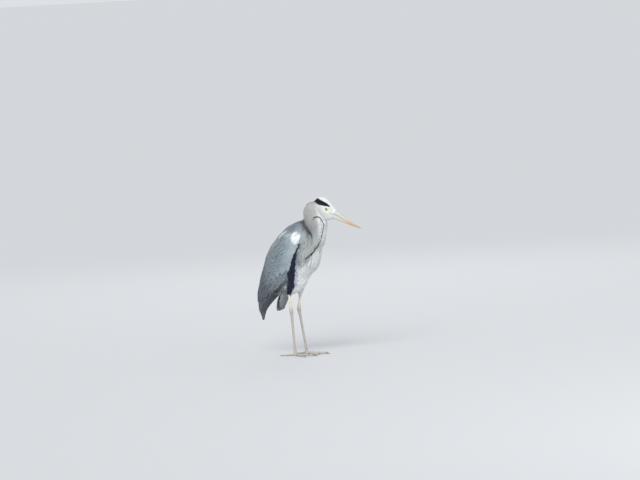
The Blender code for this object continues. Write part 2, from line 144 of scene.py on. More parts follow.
# %% Floor, sky and lamps
FLOOR_HALF = 300.0      # metres: it reaches past the picture's top edge
FLOOR_COLOUR, FLOOR_ROUGH = (.53, .54, .55, 1), 0.9
SKY_COLOUR, SKY_STRENGTH = (0.93, 0.96, 1.0, 1), 0.78
LAMP_AIM = Vector((0, 0, 0.35))      # metres: the middle of the bird


def link(obj):
    """Put an object into the scene."""
    bpy.context.scene.collection.objects.link(obj)
    return obj


def plain_mesh(name, points, faces):
    """A mesh from points in metres and lists of their numbers."""
    mesh = bpy.data.meshes.new(name)
    mesh.from_pydata([tuple(p) for p in points], [], faces)
    mesh.update()
    return mesh


floor = link(bpy.data.objects.new("floor", plain_mesh("floor", [
    (x * FLOOR_HALF, y * FLOOR_HALF, 0) for x, y in ((-1, -1), (1, -1), (1, 1), (-1, 1))],
    [(0, 1, 2, 3)])))
pale = bpy.data.materials.new("pale floor")
pale.use_nodes = True
pale_shader = pale.node_tree.nodes["Principled BSDF"]
pale_shader.inputs["Base Color"].default_value = FLOOR_COLOUR
pale_shader.inputs["Roughness"].default_value = FLOOR_ROUGH
floor.data.materials.append(pale)

world = bpy.data.worlds.new("soft sky")
world.use_nodes = True
sky = world.node_tree.nodes["Background"]
sky.inputs["Color"].default_value = SKY_COLOUR
sky.inputs["Strength"].default_value = SKY_STRENGTH
bpy.context.scene.world = world

# name: its kind, where it stands, its size in metres or breadth in degrees, its power
LAMPS = {
    "key": ("SUN", (0.7, -3.2, 2.9), 42.0, 2.4),
    "fill": ("AREA", (3.4, -1.2, 1.6), 2.6, 26.0),
    "behind": ("AREA", (-1.4, 3.0, 2.4), 2.4, 14.0),
}
for name, (kind, place, size, power) in LAMPS.items():
    lamp = bpy.data.lights.new(name, kind)
    lamp.energy = power
    if kind == "SUN":
        lamp.angle = math.radians(size)
    else:
        lamp.size = size
    obj = link(bpy.data.objects.new(name, lamp))
    obj.location = place
    obj.rotation_euler = (LAMP_AIM - Vector(place)).to_track_quat("-Z", "Y").to_euler()
bpy.context.scene.view_settings.view_transform = "Standard"
print("lamps", sorted(LAMPS))

# %% [markdown]
# ## The skin
#
# A bird's outline is its feathers, and the skin lies some way inside them. The
# solids of flesh are swelled a hair so that they touch, melted into one closed
# form on a grid of small cubes, and sunk by the depth of the plumage, which is
# two millimetres on the face and six on the body. Only the face, the lids and
# the legs are ever seen bare, so the head alone is divided finer.

# %% Copies of the solids
FLESH = ("head", "neck_upper", "neck_lower", "trunk", "wing_left", "wing_right",
         "primaries_left", "primaries_right", "thigh_left", "thigh_right")
HEAD_FILLING = ("eye_left", "eye_right", "bill_upper", "bill_lower")
MERGE = 2e-6            # metres within which two corners are one
SWELL = 0.45            # mm, to close the gaps between the solids


def merged(node):
    """A copy of a solid with its loose triangles joined."""
    bm = bmesh.new()
    bm.from_mesh(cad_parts[node].data)
    bmesh.ops.remove_doubles(bm, verts=bm.verts, dist=MERGE)
    bm.normal_update()
    return bm


def swelled(node, by):
    """The same copy with its surface moved outwards, by in mm."""
    bm = merged(node)
    for vert, move in [(v, v.normal * by * MM) for v in bm.verts]:
        vert.co += move
    mesh = bpy.data.meshes.new(node)
    bm.to_mesh(mesh)
    bm.free()
    return mesh


def joined(name, meshes):
    """One object from several meshes."""
    bm = bmesh.new()
    for mesh in meshes:
        bm.from_mesh(mesh)
        bpy.data.meshes.remove(mesh)
    whole = bpy.data.meshes.new(name)
    bm.to_mesh(whole)
    bm.free()
    return link(bpy.data.objects.new(name, whole))


def settle(obj):
    """Replace an object's mesh by what its modifiers make of it."""
    graph = bpy.context.evaluated_depsgraph_get()
    mesh = bpy.data.meshes.new_from_object(obj.evaluated_get(graph))
    old = obj.data
    obj.modifiers.clear()
    obj.data = mesh
    bpy.data.meshes.remove(old)
    return obj


def melt(obj, grain, rounds):
    """One closed form on a grid of that grain in mm, smoothed for some rounds."""
    remesh = obj.modifiers.new("melt", "REMESH")
    remesh.mode = "VOXEL"
    remesh.voxel_size = grain * MM
    soft = obj.modifiers.new("soften", "SMOOTH")
    soft.factor = 0.5
    soft.iterations = rounds
    return settle(obj)


def turned_out(mesh):
    """Make a closed mesh's faces point outwards."""
    bm = bmesh.new()
    bm.from_mesh(mesh)
    bmesh.ops.recalc_face_normals(bm, faces=bm.faces[:])
    bm.to_mesh(mesh)
    bm.free()


def without_points(mesh, gone):
    """Take out the points that gone marks, with the faces that they carry."""
    bm = bmesh.new()
    bm.from_mesh(mesh)
    bmesh.ops.delete(bm, geom=[v for v, yes in zip(bm.verts, gone) if yes], context="VERTS")
    bm.to_mesh(mesh)
    bm.free()


BODY_GRAIN, BODY_ROUNDS = 2.8, 2     # mm, and rounds of smoothing
body = joined("body", [swelled(n, SWELL) for n in FLESH + HEAD_FILLING])
melt(body, BODY_GRAIN, BODY_ROUNDS)
print("body", len(body.data.polygons), "faces")

# %% Cut off the bill and divide the head finer
BILL_SEAT = 0.5         # mm ahead of the bill's root where the face ends
HEAD_AHEAD, HEAD_ABOVE = 120, 445    # mm: only faces ahead of and above these are cut
FACE_FROM = -62.0       # the part of the head that is divided finer, along its axis
FACE_LOW = -45          # and how far below the axis it reaches
NECK_LINE = 470.0       # and the height that it stays above
FINER = 2               # cuts across each side of a face


def parts_of(faces, kind):
    """The corners or edges of faces, each once and in a fixed order."""
    return list(dict.fromkeys(part for face in faces for part in getattr(face, kind)))


def split_long_faces(bm):
    """Make triangles of the faces that have more than four corners."""
    bmesh.ops.triangulate(bm, faces=[f for f in bm.faces if len(f.verts) > 4])


bm = bmesh.new()
bm.from_mesh(body.data)
bpy.data.objects.remove(body)
seat = to_m(head_place(BILL_SEAT, 0.0, 0.0))
heads = [f for f in bm.faces
         if f.calc_center_median().z > HEAD_ABOVE * MM
         and f.calc_center_median().x > PLUMB[0] + HEAD_AHEAD * MM]
cut = bmesh.ops.bisect_plane(
    bm, geom=parts_of(heads, "verts") + parts_of(heads, "edges") + heads, dist=1e-6,
    plane_co=Vector(seat), plane_no=Vector((COS, 0, -SIN)), clear_outer=True)
rim = [g for g in cut["geom_cut"] if isinstance(g, bmesh.types.BMEdge)]
bmesh.ops.holes_fill(bm, edges=rim, sides=0)
split_long_faces(bm)
bm.faces.ensure_lookup_table()
middles = to_mm([f.calc_center_median() for f in bm.faces])
along, above = head_axes(middles)
fine = (along > FACE_FROM) & (above > FACE_LOW) & (middles[:, 2] > NECK_LINE)
chosen = parts_of([f for f, yes in zip(bm.faces, fine) if yes], "edges")
bmesh.ops.subdivide_edges(bm, edges=chosen, cuts=FINER, use_grid_fill=True)
split_long_faces(bm)
bm.normal_update()
skin_mesh = bpy.data.meshes.new("skin")
bm.to_mesh(skin_mesh)
bm.free()
print("skin", len(skin_mesh.vertices), "points")

# %% Reading and smoothing numbers on a mesh


def read_all(rows, key, width=1, kind=float):
    """One number, or width of them, from each item of a mesh's list."""
    flat = np.empty(len(rows) * width, dtype=kind)
    rows.foreach_get(key, flat)
    return flat if width == 1 else flat.reshape(-1, width)


def points_of(mesh):
    """A mesh's points as an array of millimetres."""
    return to_mm(read_all(mesh.vertices, "co", 3))


def set_points(mesh, places):
    """Move a mesh's points to places in millimetres."""
    mesh.vertices.foreach_set("co", to_m(places).ravel())
    mesh.update()


def normals_of(mesh):
    """The directions that a mesh's points face."""
    return read_all(mesh.vertex_normals, "vector", 3)


def edges_of(mesh):
    """Pairs of points that an edge joins."""
    return read_all(mesh.edges, "vertices", 2, np.int64)


def triangles_of(mesh):
    """How many triangles a mesh's faces come to."""
    return sum(len(f.vertices) - 2 for f in mesh.polygons)


def blurred(values, pairs, rounds):
    """Numbers or vectors on a mesh's points, averaged with their neighbours."""
    values = np.array(values, float)
    one = values.ndim == 1
    values = values.reshape(len(values), -1)
    count = np.maximum(np.bincount(pairs.ravel(), minlength=len(values)), 1)[:, None]
    for _ in range(rounds):
        total = np.empty_like(values)
        for k in range(values.shape[1]):
            total[:, k] = (np.bincount(pairs[:, 0], values[pairs[:, 1], k], len(values))
                           + np.bincount(pairs[:, 1], values[pairs[:, 0], k], len(values)))
        values = (values + total / count) / 2
    return values[:, 0] if one else values


def unit(rows):
    """Rows made one long."""
    return rows / np.maximum(np.linalg.norm(rows, axis=1), 1e-12)[:, None]


def ramp(low, high, x):
    """0 below low, 1 above high, and a smooth rise between; low may be the higher."""
    t = np.clip((np.asarray(x, float) - low) / (high - low), 0, 1)
    return t * t * (3 - 2 * t)


def mix(a, b, share):
    """Blend two numbers, vectors or rows of colours."""
    a, b, share = (np.asarray(v, float) for v in (a, b, share))
    if any(v.ndim > share.ndim or (v.ndim == share.ndim == 1 and v.shape != share.shape)
           for v in (a, b)):
        share = share[..., None]
    return a * (1 - share) + b * share


pairs = edges_of(skin_mesh)
places = points_of(skin_mesh)
along, above = head_axes(places)
on_face = ramp(FACE_FROM - 4, FACE_FROM + 6, along) * ramp(
    NECK_LINE, NECK_LINE + 10, places[:, 2])
places = mix(places, blurred(places, pairs, 4), on_face)
set_points(skin_mesh, places)
print("face points", int((on_face > 0.5).sum()))

# %% Which solid each point of the skin belongs to
trees = [BVHTree.FromBMesh(merged(n)) for n in FLESH]
gaps = np.array([[tree.find_nearest(p)[3] for tree in trees]
                 for p in map(Vector, to_m(places))])
nearest = gaps.argmin(axis=1)
belongs = {n: (nearest == i).astype(float) for i, n in enumerate(FLESH)}
print({n: int(m.sum()) for n, m in belongs.items()})

# %% Where the skin is bare
LID_REACH = 8.4         # mm from the eye's middle that the bare lids reach
THROAT = (455, 465)     # heights between which the marks of the head begin


def eye_distance(along, above):
    """How far places are from the eye's middle, seen from the side."""
    return np.hypot(along - EYE_FROM_BILL[0], above - EYE_FROM_BILL[1])


def face_bare(p):
    """1 on the bare skin between bill and eye and round the eye, 0 elsewhere."""
    along, above = head_axes(p)
    top = 3.5 + 9.0 * ramp(-2, -24, along)
    low = -4.0 + 5.0 * ramp(-10, -30, along)
    lores = ramp(-31, -27, along) * ramp(low - 1.5, low + 1.5, above) * (
        1 - ramp(top - 1.5, top + 1.5, above))
    lids = 1 - ramp(LID_REACH - 1.2, LID_REACH + 0.8, eye_distance(along, above))
    return np.maximum(lores, lids) * ramp(*THROAT, p[..., 2])


def soft_start(p):
    """1 close behind the bill, where the feathers are shortest, 0 at the nape."""
    along, _ = head_axes(p)
    return ramp(-70, -2, along) * ramp(*THROAT, p[..., 2])


bare = face_bare(places)
print("bare face", int((bare > 0.5).sum()), "points")

# %% Sink the skin by the depth of the plumage
# mm of feathers over each part, behind the bill, and on bare skin
DEPTH = {"head": 1.9, "neck_upper": 3.4, "neck_lower": 3.8, "trunk": 5.0,
         "wing_left": 5.0, "wing_right": 5.0, "primaries_left": 2.6,
         "primaries_right": 2.6, "thigh_left": 3.4, "thigh_right": 3.4}
BILL_DEPTH, BARE_DEPTH = 1.1, 0.25

depth = blurred(sum(belongs[n] * DEPTH[n] for n in FLESH), pairs, 8)
depth = mix(depth, BILL_DEPTH, soft_start(places) * belongs["head"])
depth = mix(depth, BARE_DEPTH, bare)
depth = blurred(depth, pairs, 2)
facing = unit(blurred(normals_of(skin_mesh), pairs, 3))
places = places - facing * (depth + SWELL)[:, None]
places = mix(places, blurred(places, pairs, 3), 1 - on_face * 0.8)
set_points(skin_mesh, places)
print("sunk by", depth.min().round(2), "to", depth.max().round(2), "mm")

# %% [markdown]
# ## Lids
#
# An eye sits in the head like a ball in a soft cup, and only its front shows
# between two lids. The skin near each eye is moved onto shells round the
# eyeball: behind its surface inside the opening, and just above it on the rim,
# which gives a lid with thickness. The opening is a little longer than it is high.

# %% Open the lids
EYE_LOOK = np.array((0.24, 0.97, -0.03))      # the way the left eye looks
OPEN_HALF, OPEN_STRETCH = 42.0, 4.0           # degrees, and how much longer than high
LID_WIDE = 9.0                                # degrees that the rim is wide
LID_FADE, HOLD_FADE = 12, 20                  # degrees over which the lid meets the face
BEHIND, RIM = -1.5, 0.75                      # mm inside and above the eyeball
NEAR_EYE = 9                                  # mm round the eyeball that can be moved


def eye_polar(p, side):
    """Angle from the way an eye looks, angle round it, and distance from its middle."""
    look = EYE_LOOK * (1, SIDES[side], 1)
    look = look / np.linalg.norm(look)
    forward = np.array((COS, 0, -SIN))
    forward = forward - look * forward.dot(look)
    forward /= np.linalg.norm(forward)
    q = p - EYE_MM[side]
    far = np.linalg.norm(q, axis=-1)
    tilt = np.degrees(np.arccos(np.clip(q @ look / np.maximum(far, 1e-6), -1, 1)))
    round_it = np.degrees(np.arctan2(q @ np.cross(look, forward), q @ forward))
    return tilt, round_it, far


def opening(round_it):
    """The half angle of the lids' opening, longest fore and aft."""
    return OPEN_HALF + OPEN_STRETCH * np.cos(np.radians(2 * round_it))


for side in SIDES:
    tilt, round_it, far = eye_polar(places, side)
    edge = opening(round_it)
    near = (far < EYE_RADIUS + NEAR_EYE) & (tilt < 100)
    shell = EYE_RADIUS + mix(
        BEHIND + (RIM - BEHIND) * ramp(edge - 4, edge + 2, tilt),
        0.0, ramp(edge + LID_WIDE, edge + LID_WIDE + LID_FADE, tilt))
    hold = near * (1 - ramp(edge + LID_WIDE + 2, edge + LID_WIDE + 2 + HOLD_FADE, tilt))
    from_eye = places - EYE_MM[side]
    moved = EYE_MM[side] + from_eye * (shell / np.maximum(far, 1e-6))[:, None]
    places = mix(places, moved, hold)
set_points(skin_mesh, places)
print("lids", int((hold > 0.5).sum()), "points each")

# %% The corner of the mouth
GAPE_END = -27.0        # how far behind the bill's root the mouth's line runs
GAPE_DROP = -5.0        # how far it falls on the way
GAPE_DEEP, GAPE_HALF = 0.9, 0.9     # mm deep, and mm from its middle to its side


def gape_line(along):
    """Height of the mouth's line above the head's axis."""
    return GAPE_DROP * ramp(0, GAPE_END, along)


along, above = head_axes(places)
groove = np.exp(-((above - gape_line(along)) / GAPE_HALF) ** 2)
groove = groove * ramp(GAPE_END - 2, GAPE_END + 5, along) * ramp(*THROAT, places[:, 2])
places = places - normals_of(skin_mesh) * (groove * GAPE_DEEP)[:, None]
set_points(skin_mesh, places)
print("mouth line", int((groove > 0.5).sum()), "points")

# %% [markdown]
# ## Legs and feet
#
# A heron's leg is bare from above the heel down. Its front carries a column of
# shields that overlap like roof slates, and the toes carry a row of them on top.
# The solids give each leg's sections. Close rings are laid through them, and each
# ring is stepped out a little at the lower edge of a shield.

# %% Sections of a limb, read from its solid
LEG_SEGMENTS = 28
RING_STEP = 0.62        # mm between rings
SHIELD = 3.9            # height of a shield on the leg, mm
SHIELD_STEP = 0.34      # how far its lower edge stands out
SHIELD_HALF = 62.0      # degrees of the front that shields cover
SCALE_STEP = 0.10       # how far the small scales behind them stand out
LEG_SINK = 0.15         # mm taken off first, so that the shields stay inside the solid's size


def limb_rings(node):
    """Height, middle x, middle y, half length and half width of a limb's rings."""
    bm = merged(node)
    p = to_mm([v.co for v in bm.verts])
    bm.free()
    rows = []
    for z in np.unique(p[:, 2].round(1)):
        ring = p[np.abs(p[:, 2] - z) < 0.3]
        low, high = ring.min(0), ring.max(0)
        if len(ring) >= 8:
            rows.append((z, *(low + high)[:2] / 2, *(high - low)[:2] / 2))
    return rows


def evened(row, width, **edges):
    """A row of numbers averaged under a bell that is width steps wide."""
    bell = np.hanning(width) / np.hanning(width).sum()
    return np.convolve(np.pad(row, width // 2, **edges), bell, "valid")


def tube_faces(rings, around):
    """The faces of a tube of rings, closed at both ends."""
    faces = [(i * around + j, i * around + (j + 1) % around,
              (i + 1) * around + (j + 1) % around, (i + 1) * around + j)
             for i in range(rings - 1) for j in range(around)]
    return faces + [tuple(range(around - 1, -1, -1)),
                    tuple(range((rings - 1) * around, rings * around))]


def leg_mesh(side):
    """A bare leg from inside the thigh's feathers to the foot."""
    rows = sorted(limb_rings("tarsus_" + side) + limb_rings("shank_" + side))
    z0, z1 = rows[0][0] - 2.0, rows[-1][0]
    table = np.array(rows).T
    heights = np.arange(z0, z1, RING_STEP)
    x, y, half_x, half_y = (np.interp(heights, table[0], t)[:, None] for t in table[1:])
    half_x, half_y = (evened(h[:, 0], 9, mode="edge")[:, None] for h in (half_x, half_y))
    turn = np.radians(np.arange(LEG_SEGMENTS) * 360 / LEG_SEGMENTS)
    turned = np.degrees(np.abs((turn + math.pi) % math.tau - math.pi))
    rise = (heights[:, None] - z0) / SHIELD
    shields = (1 - rise % 1.0) * (1 - ramp(SHIELD_HALF - 12, SHIELD_HALF + 8, turned))
    scales = np.sin((rise * 1.6 + turned / 34) % 1.0 * math.pi) * ramp(
        SHIELD_HALF - 6, SHIELD_HALF + 10, turned)
    lift = SHIELD_STEP * shields + SCALE_STEP * scales - LEG_SINK
    ring = np.stack((x + (half_x + lift) * np.cos(turn), y + (half_y + lift) * np.sin(turn),
                     np.repeat(heights[:, None], LEG_SEGMENTS, 1)), axis=-1)
    return plain_mesh("leg_" + side, to_m(ring.reshape(-1, 3)),
                      tube_faces(len(heights), LEG_SEGMENTS))


legs = {side: leg_mesh(side) for side in SIDES}
print("legs", {s: len(m.polygons) for s, m in legs.items()})

# %% Feet
FOOT_GRAIN = 0.95       # mm
TOE_SHIELD, TOE_STEP = 2.7, 0.28     # mm: length of a shield, and how far it stands out
TOE_SINK = 0.1          # mm taken off first
feet = {}
for side in SIDES:
    foot = joined("foot", [swelled("foot_" + side, 0.05)])
    melt(foot, FOOT_GRAIN, 2)
    p, n = points_of(foot.data), normals_of(foot.data)
    _, ankle_x, ankle_y, _, _ = limb_rings("tarsus_" + side)[0]
    out = np.hypot(p[:, 0] - ankle_x, p[:, 1] - ankle_y)
    shield = (out / TOE_SHIELD) % 1.0
    step = TOE_STEP * shield * ramp(0.25, 0.75, n[:, 2]) * ramp(6, 12, out) - TOE_SINK
    p = p + n * step[:, None]
    p[:, 2] = np.maximum(p[:, 2], 0.0)
    set_points(foot.data, p)
    feet[side] = foot.data
    bpy.data.objects.remove(foot)
    print("foot", side, len(feet[side].polygons), "faces")

# %% One skin
body_points = len(skin_mesh.vertices)
skin = joined("skin", [skin_mesh, legs["left"], legs["right"], feet["left"], feet["right"]])
skin_mesh = skin.data
skin_mesh.shade_smooth()
places = points_of(skin_mesh)
facing = normals_of(skin_mesh)
pairs = edges_of(skin_mesh)
is_body = np.arange(len(places)) < body_points
for name in FLESH:
    belongs[name] = np.concatenate((belongs[name], np.zeros(len(places) - body_points)))
print("skin", triangles_of(skin_mesh), "triangles, legs and feet with it")

# %% [markdown]
# ## A map of the skin
#
# A flat map lets every piece's colours be baked into a picture. Smart UV Project
# cuts the skin where it turns sharply and lays the pieces out side by side. The
# feathers use this same map later: each is a small patch at the place where it
# grows, so that its colour is baked beside its neighbours'.

# %% Unwrap the skin
BAKE_MAP = "OFBake"
CREASE_ANGLE, ISLAND_GAP = 66.0, 0.002     # degrees, and a share of the map's width


def unwrap(obj):
    """Give an object a flat map of its own shape."""
    bpy.ops.object.select_all(action="DESELECT")
    obj.select_set(True)
    bpy.context.view_layer.objects.active = obj
    bpy.ops.object.mode_set(mode="EDIT")
    bpy.ops.mesh.select_all(action="SELECT")
    bpy.ops.uv.smart_project(angle_limit=math.radians(CREASE_ANGLE), island_margin=ISLAND_GAP)
    bpy.ops.object.mode_set(mode="OBJECT")
    obj.data.uv_layers.active.name = BAKE_MAP


unwrap(skin)
print("map", skin_mesh.uv_layers.active.name)

# %% [markdown]
# ## The lie of the feathers
#
# Feathers point the way a hand would stroke the bird: back over the head, round
# the folded neck, down the breast, and slantwise down the back and wings. A few
# places are given a direction. Every other point takes the mean of those near
# it, laid flat on the skin.

# %% Directions over the body
# place in mm with y from the middle line outwards, and the way feathers point there
LIE = (
    ((170, 8, 520), (-.9, .1, .42)), ((150, 0, 553), (-.9, 0, .42)),
    ((130, 0, 567), (-1, 0, 0)), ((108, 0, 562), (-.95, 0, -.3)),
    ((98, 0, 545), (-.7, 0, -.7)), ((140, 18, 528), (-.95, .1, .1)),
    ((118, 20, 535), (-.95, .1, -.3)), ((120, 20, 508), (-.9, .1, -.35)),
    ((150, 12, 497), (-.9, .1, .1)), ((145, 0, 485), (-.85, 0, -.2)),
    ((80, 0, 551), (-.85, 0, -.5)), ((58, 0, 535), (-.5, 0, -.85)),
    ((48, 0, 505), (-.05, 0, -1)), ((56, 0, 480), (.1, 0, -1)),
    ((85, 26, 520), (-.6, .1, -.8)), ((80, 27, 490), (-.2, .1, -1)),
    ((110, 25, 480), (-.05, .1, -1)), ((105, 24, 440), (.15, .1, -1)),
    ((95, 30, 400), (.1, .15, -1)), ((138, 0, 455), (-.05, 0, -1)),
    ((120, 0, 405), (-.3, 0, -1)), ((103, 0, 360), (-.15, 0, -1)),
    ((85, 30, 350), (-.25, .1, -1)), ((78, 0, 300), (-.35, 0, -.95)),
    ((45, 0, 265), (-.6, 0, -.8)), ((0, 0, 233), (-.8, 0, -.5)),
    ((-45, 0, 215), (-.6, 0, -.8)), ((25, 0, 478), (-.9, 0, -.35)),
    ((-15, 10, 462), (-.8, 0, -.6)), ((-60, 10, 415), (-.6, 0, -.8)),
    ((-100, 10, 375), (-.5, 0, -.87)), ((-135, 8, 300), (-.35, 0, -.94)),
    ((-155, 5, 235), (-.15, 0, -1)), ((-150, 5, 160), (.15, 0, -1)),
    ((20, 50, 440), (-.55, .1, -.8)), ((38, 50, 400), (-.35, .1, -.93)),
    ((-20, 60, 400), (-.56, 0, -.83)), ((22, 58, 345), (-.38, 0, -.93)),
    ((-40, 64, 350), (-.52, 0, -.85)), ((0, 60, 290), (-.42, 0, -.91)),
    ((-70, 60, 290), (-.50, 0, -.87)), ((-60, 45, 240), (-.60, 0, -.80)),
    ((-120, 40, 250), (-.42, 0, -.9)), ((-130, 22, 190), (-.36, 0, -.93)),
    ((35, 50, 320), (-.25, .05, -.95)), ((15, 40, 265), (-.25, 0, -.96)),
    ((-10, 30, 235), (-.1, 0, -1)), ((55, 22, 470), (-.3, .3, -.9)),
    ((45, 0, 488), (-.6, 0, -.3)), ((-60, 15, 195), (-.35, 0, -.94)),
)
LIE_REACH = 14.0        # mm within which the nearest place alone decides


def lie_at(p, n):
    """The way feathers point at places p where the skin faces n."""
    side = np.where(p[:, 1] >= 0, 1.0, -1.0)
    q = np.stack((p[:, 0], np.abs(p[:, 1]), p[:, 2]), axis=1)
    total = np.zeros_like(q)
    for place, way in LIE:
        far = ((q - place) ** 2).sum(1)
        way = np.array(way) / np.linalg.norm(way)
        total += way / (far + LIE_REACH ** 2)[:, None] ** 2
    total[:, 1] *= side
    return unit(total - n * (total * n).sum(1)[:, None])


smooth_facing = unit(blurred(facing, pairs, 6))
broad_facing = unit(blurred(facing, pairs, 40))
lie = lie_at(places, broad_facing)
print("lie", len(LIE), "directions for", len(lie), "points")

# %% [markdown]
# ## The markings
#
# Skin and feathers are coloured by one set of rules: a base colour for each part
# of the body, and marks laid over it by their place. A mark is a band round a
# curve, so it can be moved by changing a few numbers. Each feather later takes
# the colour of the spot that its tip covers, which gives every mark the ragged,
# feathered edge that it has in life.

# %% Colours


def srgb(r, g, b):
    """A colour from its values on a screen, made linear for the shader."""
    c = np.array((r, g, b)) / 255
    return np.where(c <= 0.04045, c / 12.92, ((c + 0.055) / 1.055) ** 2.4)


COLOURS = {name: srgb(*values) for name, values in {
    "white": (240, 243, 243), "cheek": (233, 237, 232), "hump": (200, 199, 196),
    "neck side": (186, 188, 188), "neck low": (196, 200, 200), "mantle": (138, 144, 153),
    # the dark grey of the fold behind the neck is painted shade
    "shoulder": (172, 180, 186), "crease": (92, 98, 100), "wing front": (182, 194, 202),
    "wing middle": (135, 147, 154), "wing low": (134, 144, 148), "wing back": (104, 112, 116),
    # the wing edge's dark is partly the secondaries' own slate and partly painted shadow
    "slate": (88, 95, 101), "wing edge": (76, 84, 90), "breast side": (176, 182, 180),
    # the dark grey between the breast plumes is painted shade
    "breast low": (192, 196, 192), "breast spots": (118, 122, 122), "belly": (242, 245, 245),
    # the grey under the body and tail is painted shade
    "undertail": (140, 148, 154), "black": (30, 31, 50), "navy": (38, 45, 62),
    "lores": (198, 204, 180), "lavender": (184, 187, 210), "bare thigh": (222, 217, 198),
    # the darker grey of the tail's middle feathers is painted shade
    "bare leg": (180, 175, 166), "tail middle shade": (108, 117, 126), "tail side": (150, 158, 164),
}.items()}
COLOURS["patch"] = COLOURS["white"] * 1.06
BASE = {
    "head": "cheek", "neck_upper": "hump", "neck_lower": "neck low", "trunk": "mantle",
    "wing_left": "wing middle", "wing_right": "wing middle", "primaries_left": "slate",
    "primaries_right": "slate", "thigh_left": "belly", "thigh_right": "belly",
}
print(len(COLOURS), "colours")

# %% Marks by place


def band(value, middle, half, soft):
    """1 within half of middle, falling to 0 over soft."""
    return 1 - ramp(half, half + soft, np.abs(value - middle))


def along_table(at, table):
    """Read a table of (place, value, ...) rows at places."""
    rows = np.array(sorted(table), float).T
    return [np.interp(at, rows[0], column) for column in rows[1:]]


# height, how far ahead the navy band of the flank runs, half width, strength
FLANK = ((412, 46, 1.0, 0), (404, 45, 1.8, .8), (388, 40, 2.0, 1), (374, 35.5, 2.6, 1),
         (358, 30, 5.5, 1), (336, 22.5, 9.5, 1), (308, 13, 11, 1), (277, 4, 10, 1),
         (250, -5, 9.5, 1), (232, -11, 8.5, 1), (220, -13, 8, 1), (200, -15, 8, 1))
# distance behind the bill's root, lower edge of the head's black band, and how far from
# the middle line its upper edge lies
BROW = ((-20, 21, 10), (-26, 18.2, 8.2), (-35, 16.2, 9.4), (-49, 11.6, 11.6), (-62, 9.8, 12),
        (-75, 8, 9), (-84, 6, 4), (-92, 3, 0), (-112, -4, 0))
# height, the neck's hind edge where it meets the mantle
NECK_BACK = ((414, 86), (428, 84), (440, 79), (450, 74), (466, 63), (478, 55), (489, 49),
             (500, 46))
# the white line of the scapulars, from above: x, height, strength
SCAPULAR = ((-4, 451, .3), (-12, 446, 1), (-18, 442, .9), (-32, 427, .55), (-46, 412, .2),
            (-84, 374, 0))
# height, and how far ahead the front edge of the folded wing runs
WING_FRONT = ((226, -68), (263, -12), (277, -1), (306, 5), (335, 15), (371, 33), (403, 47),
              (446, 30))


def firm(share):
    """A share made steeper, so that a dark mark is dark to its edge."""
    return ramp(.22, .62, share)


def near_line(x, z, rows):
    """How far places are from a bent line seen from the side, and its strength there."""
    far, strength = np.full(x.shape, 1e3), np.zeros(x.shape)
    for (x0, z0, s0), (x1, z1, s1) in zip(rows, rows[1:]):
        run = np.clip(((x - x0) * (x1 - x0) + (z - z0) * (z1 - z0))
                      / ((x1 - x0) ** 2 + (z1 - z0) ** 2), 0, 1)
        here = np.hypot(x - x0 - run * (x1 - x0), z - z0 - run * (z1 - z0))
        strength = np.where(here < far, s0 + (s1 - s0) * run, strength)
        far = np.minimum(far, here)
    return far, strength


def wing_rim(x, z):
    """How far below the line of the secondaries' ends a place is, seen from the side."""
    return (x + 14) * .603 - (z - 270) * .798


print("tables of", [len(table) for table in (FLANK, BROW, NECK_BACK, SCAPULAR, WING_FRONT)],
      "places")

# %% Measures that marks are laid out by


def measures(p):
    """The lines and heights at places p that the marks begin and end on."""
    x, y, z = p[:, 0], np.abs(p[:, 1]), p[:, 2]
    along, above = head_axes(p)
    grain = np.sin(x * .31 + z * .17) * np.sin(z * .23 - y * .37 + x * .05)
    flank, flank_half, flank_strength = along_table(z, FLANK)
    brow, crown = along_table(along, BROW)
    return {
        "x": x, "y": y, "z": z, "along": along, "above": above, "grain": grain,
        "throat x": x + (z - 430) * .05,
        "breast x": x + (z - 400) * .12,
        "keel x": x + (400 - z) * .5,
        "belly y": y + (z - 340) * .25,
        "belly z": z + grain * 6 - ramp(20, 40, y) * 8,
        "behind the wing's front": along_table(z, WING_FRONT)[0] - x,
        "wing top": z - 400 + (x + 60) * -.5,
        "wing x": x + (z - 300) * .35,
        "behind the neck": along_table(z, NECK_BACK)[0] - x,
        "flank x": x - flank, "flank half": flank_half, "flank strength": flank_strength,
        "before the flank": x - flank - flank_half, "behind the flank": flank - flank_half - x,
        "above the brow": above - brow, "beside the crown": y - crown,
        "out of the patch": np.hypot((x - 34) / 14, (z - 427) / 24),
    }


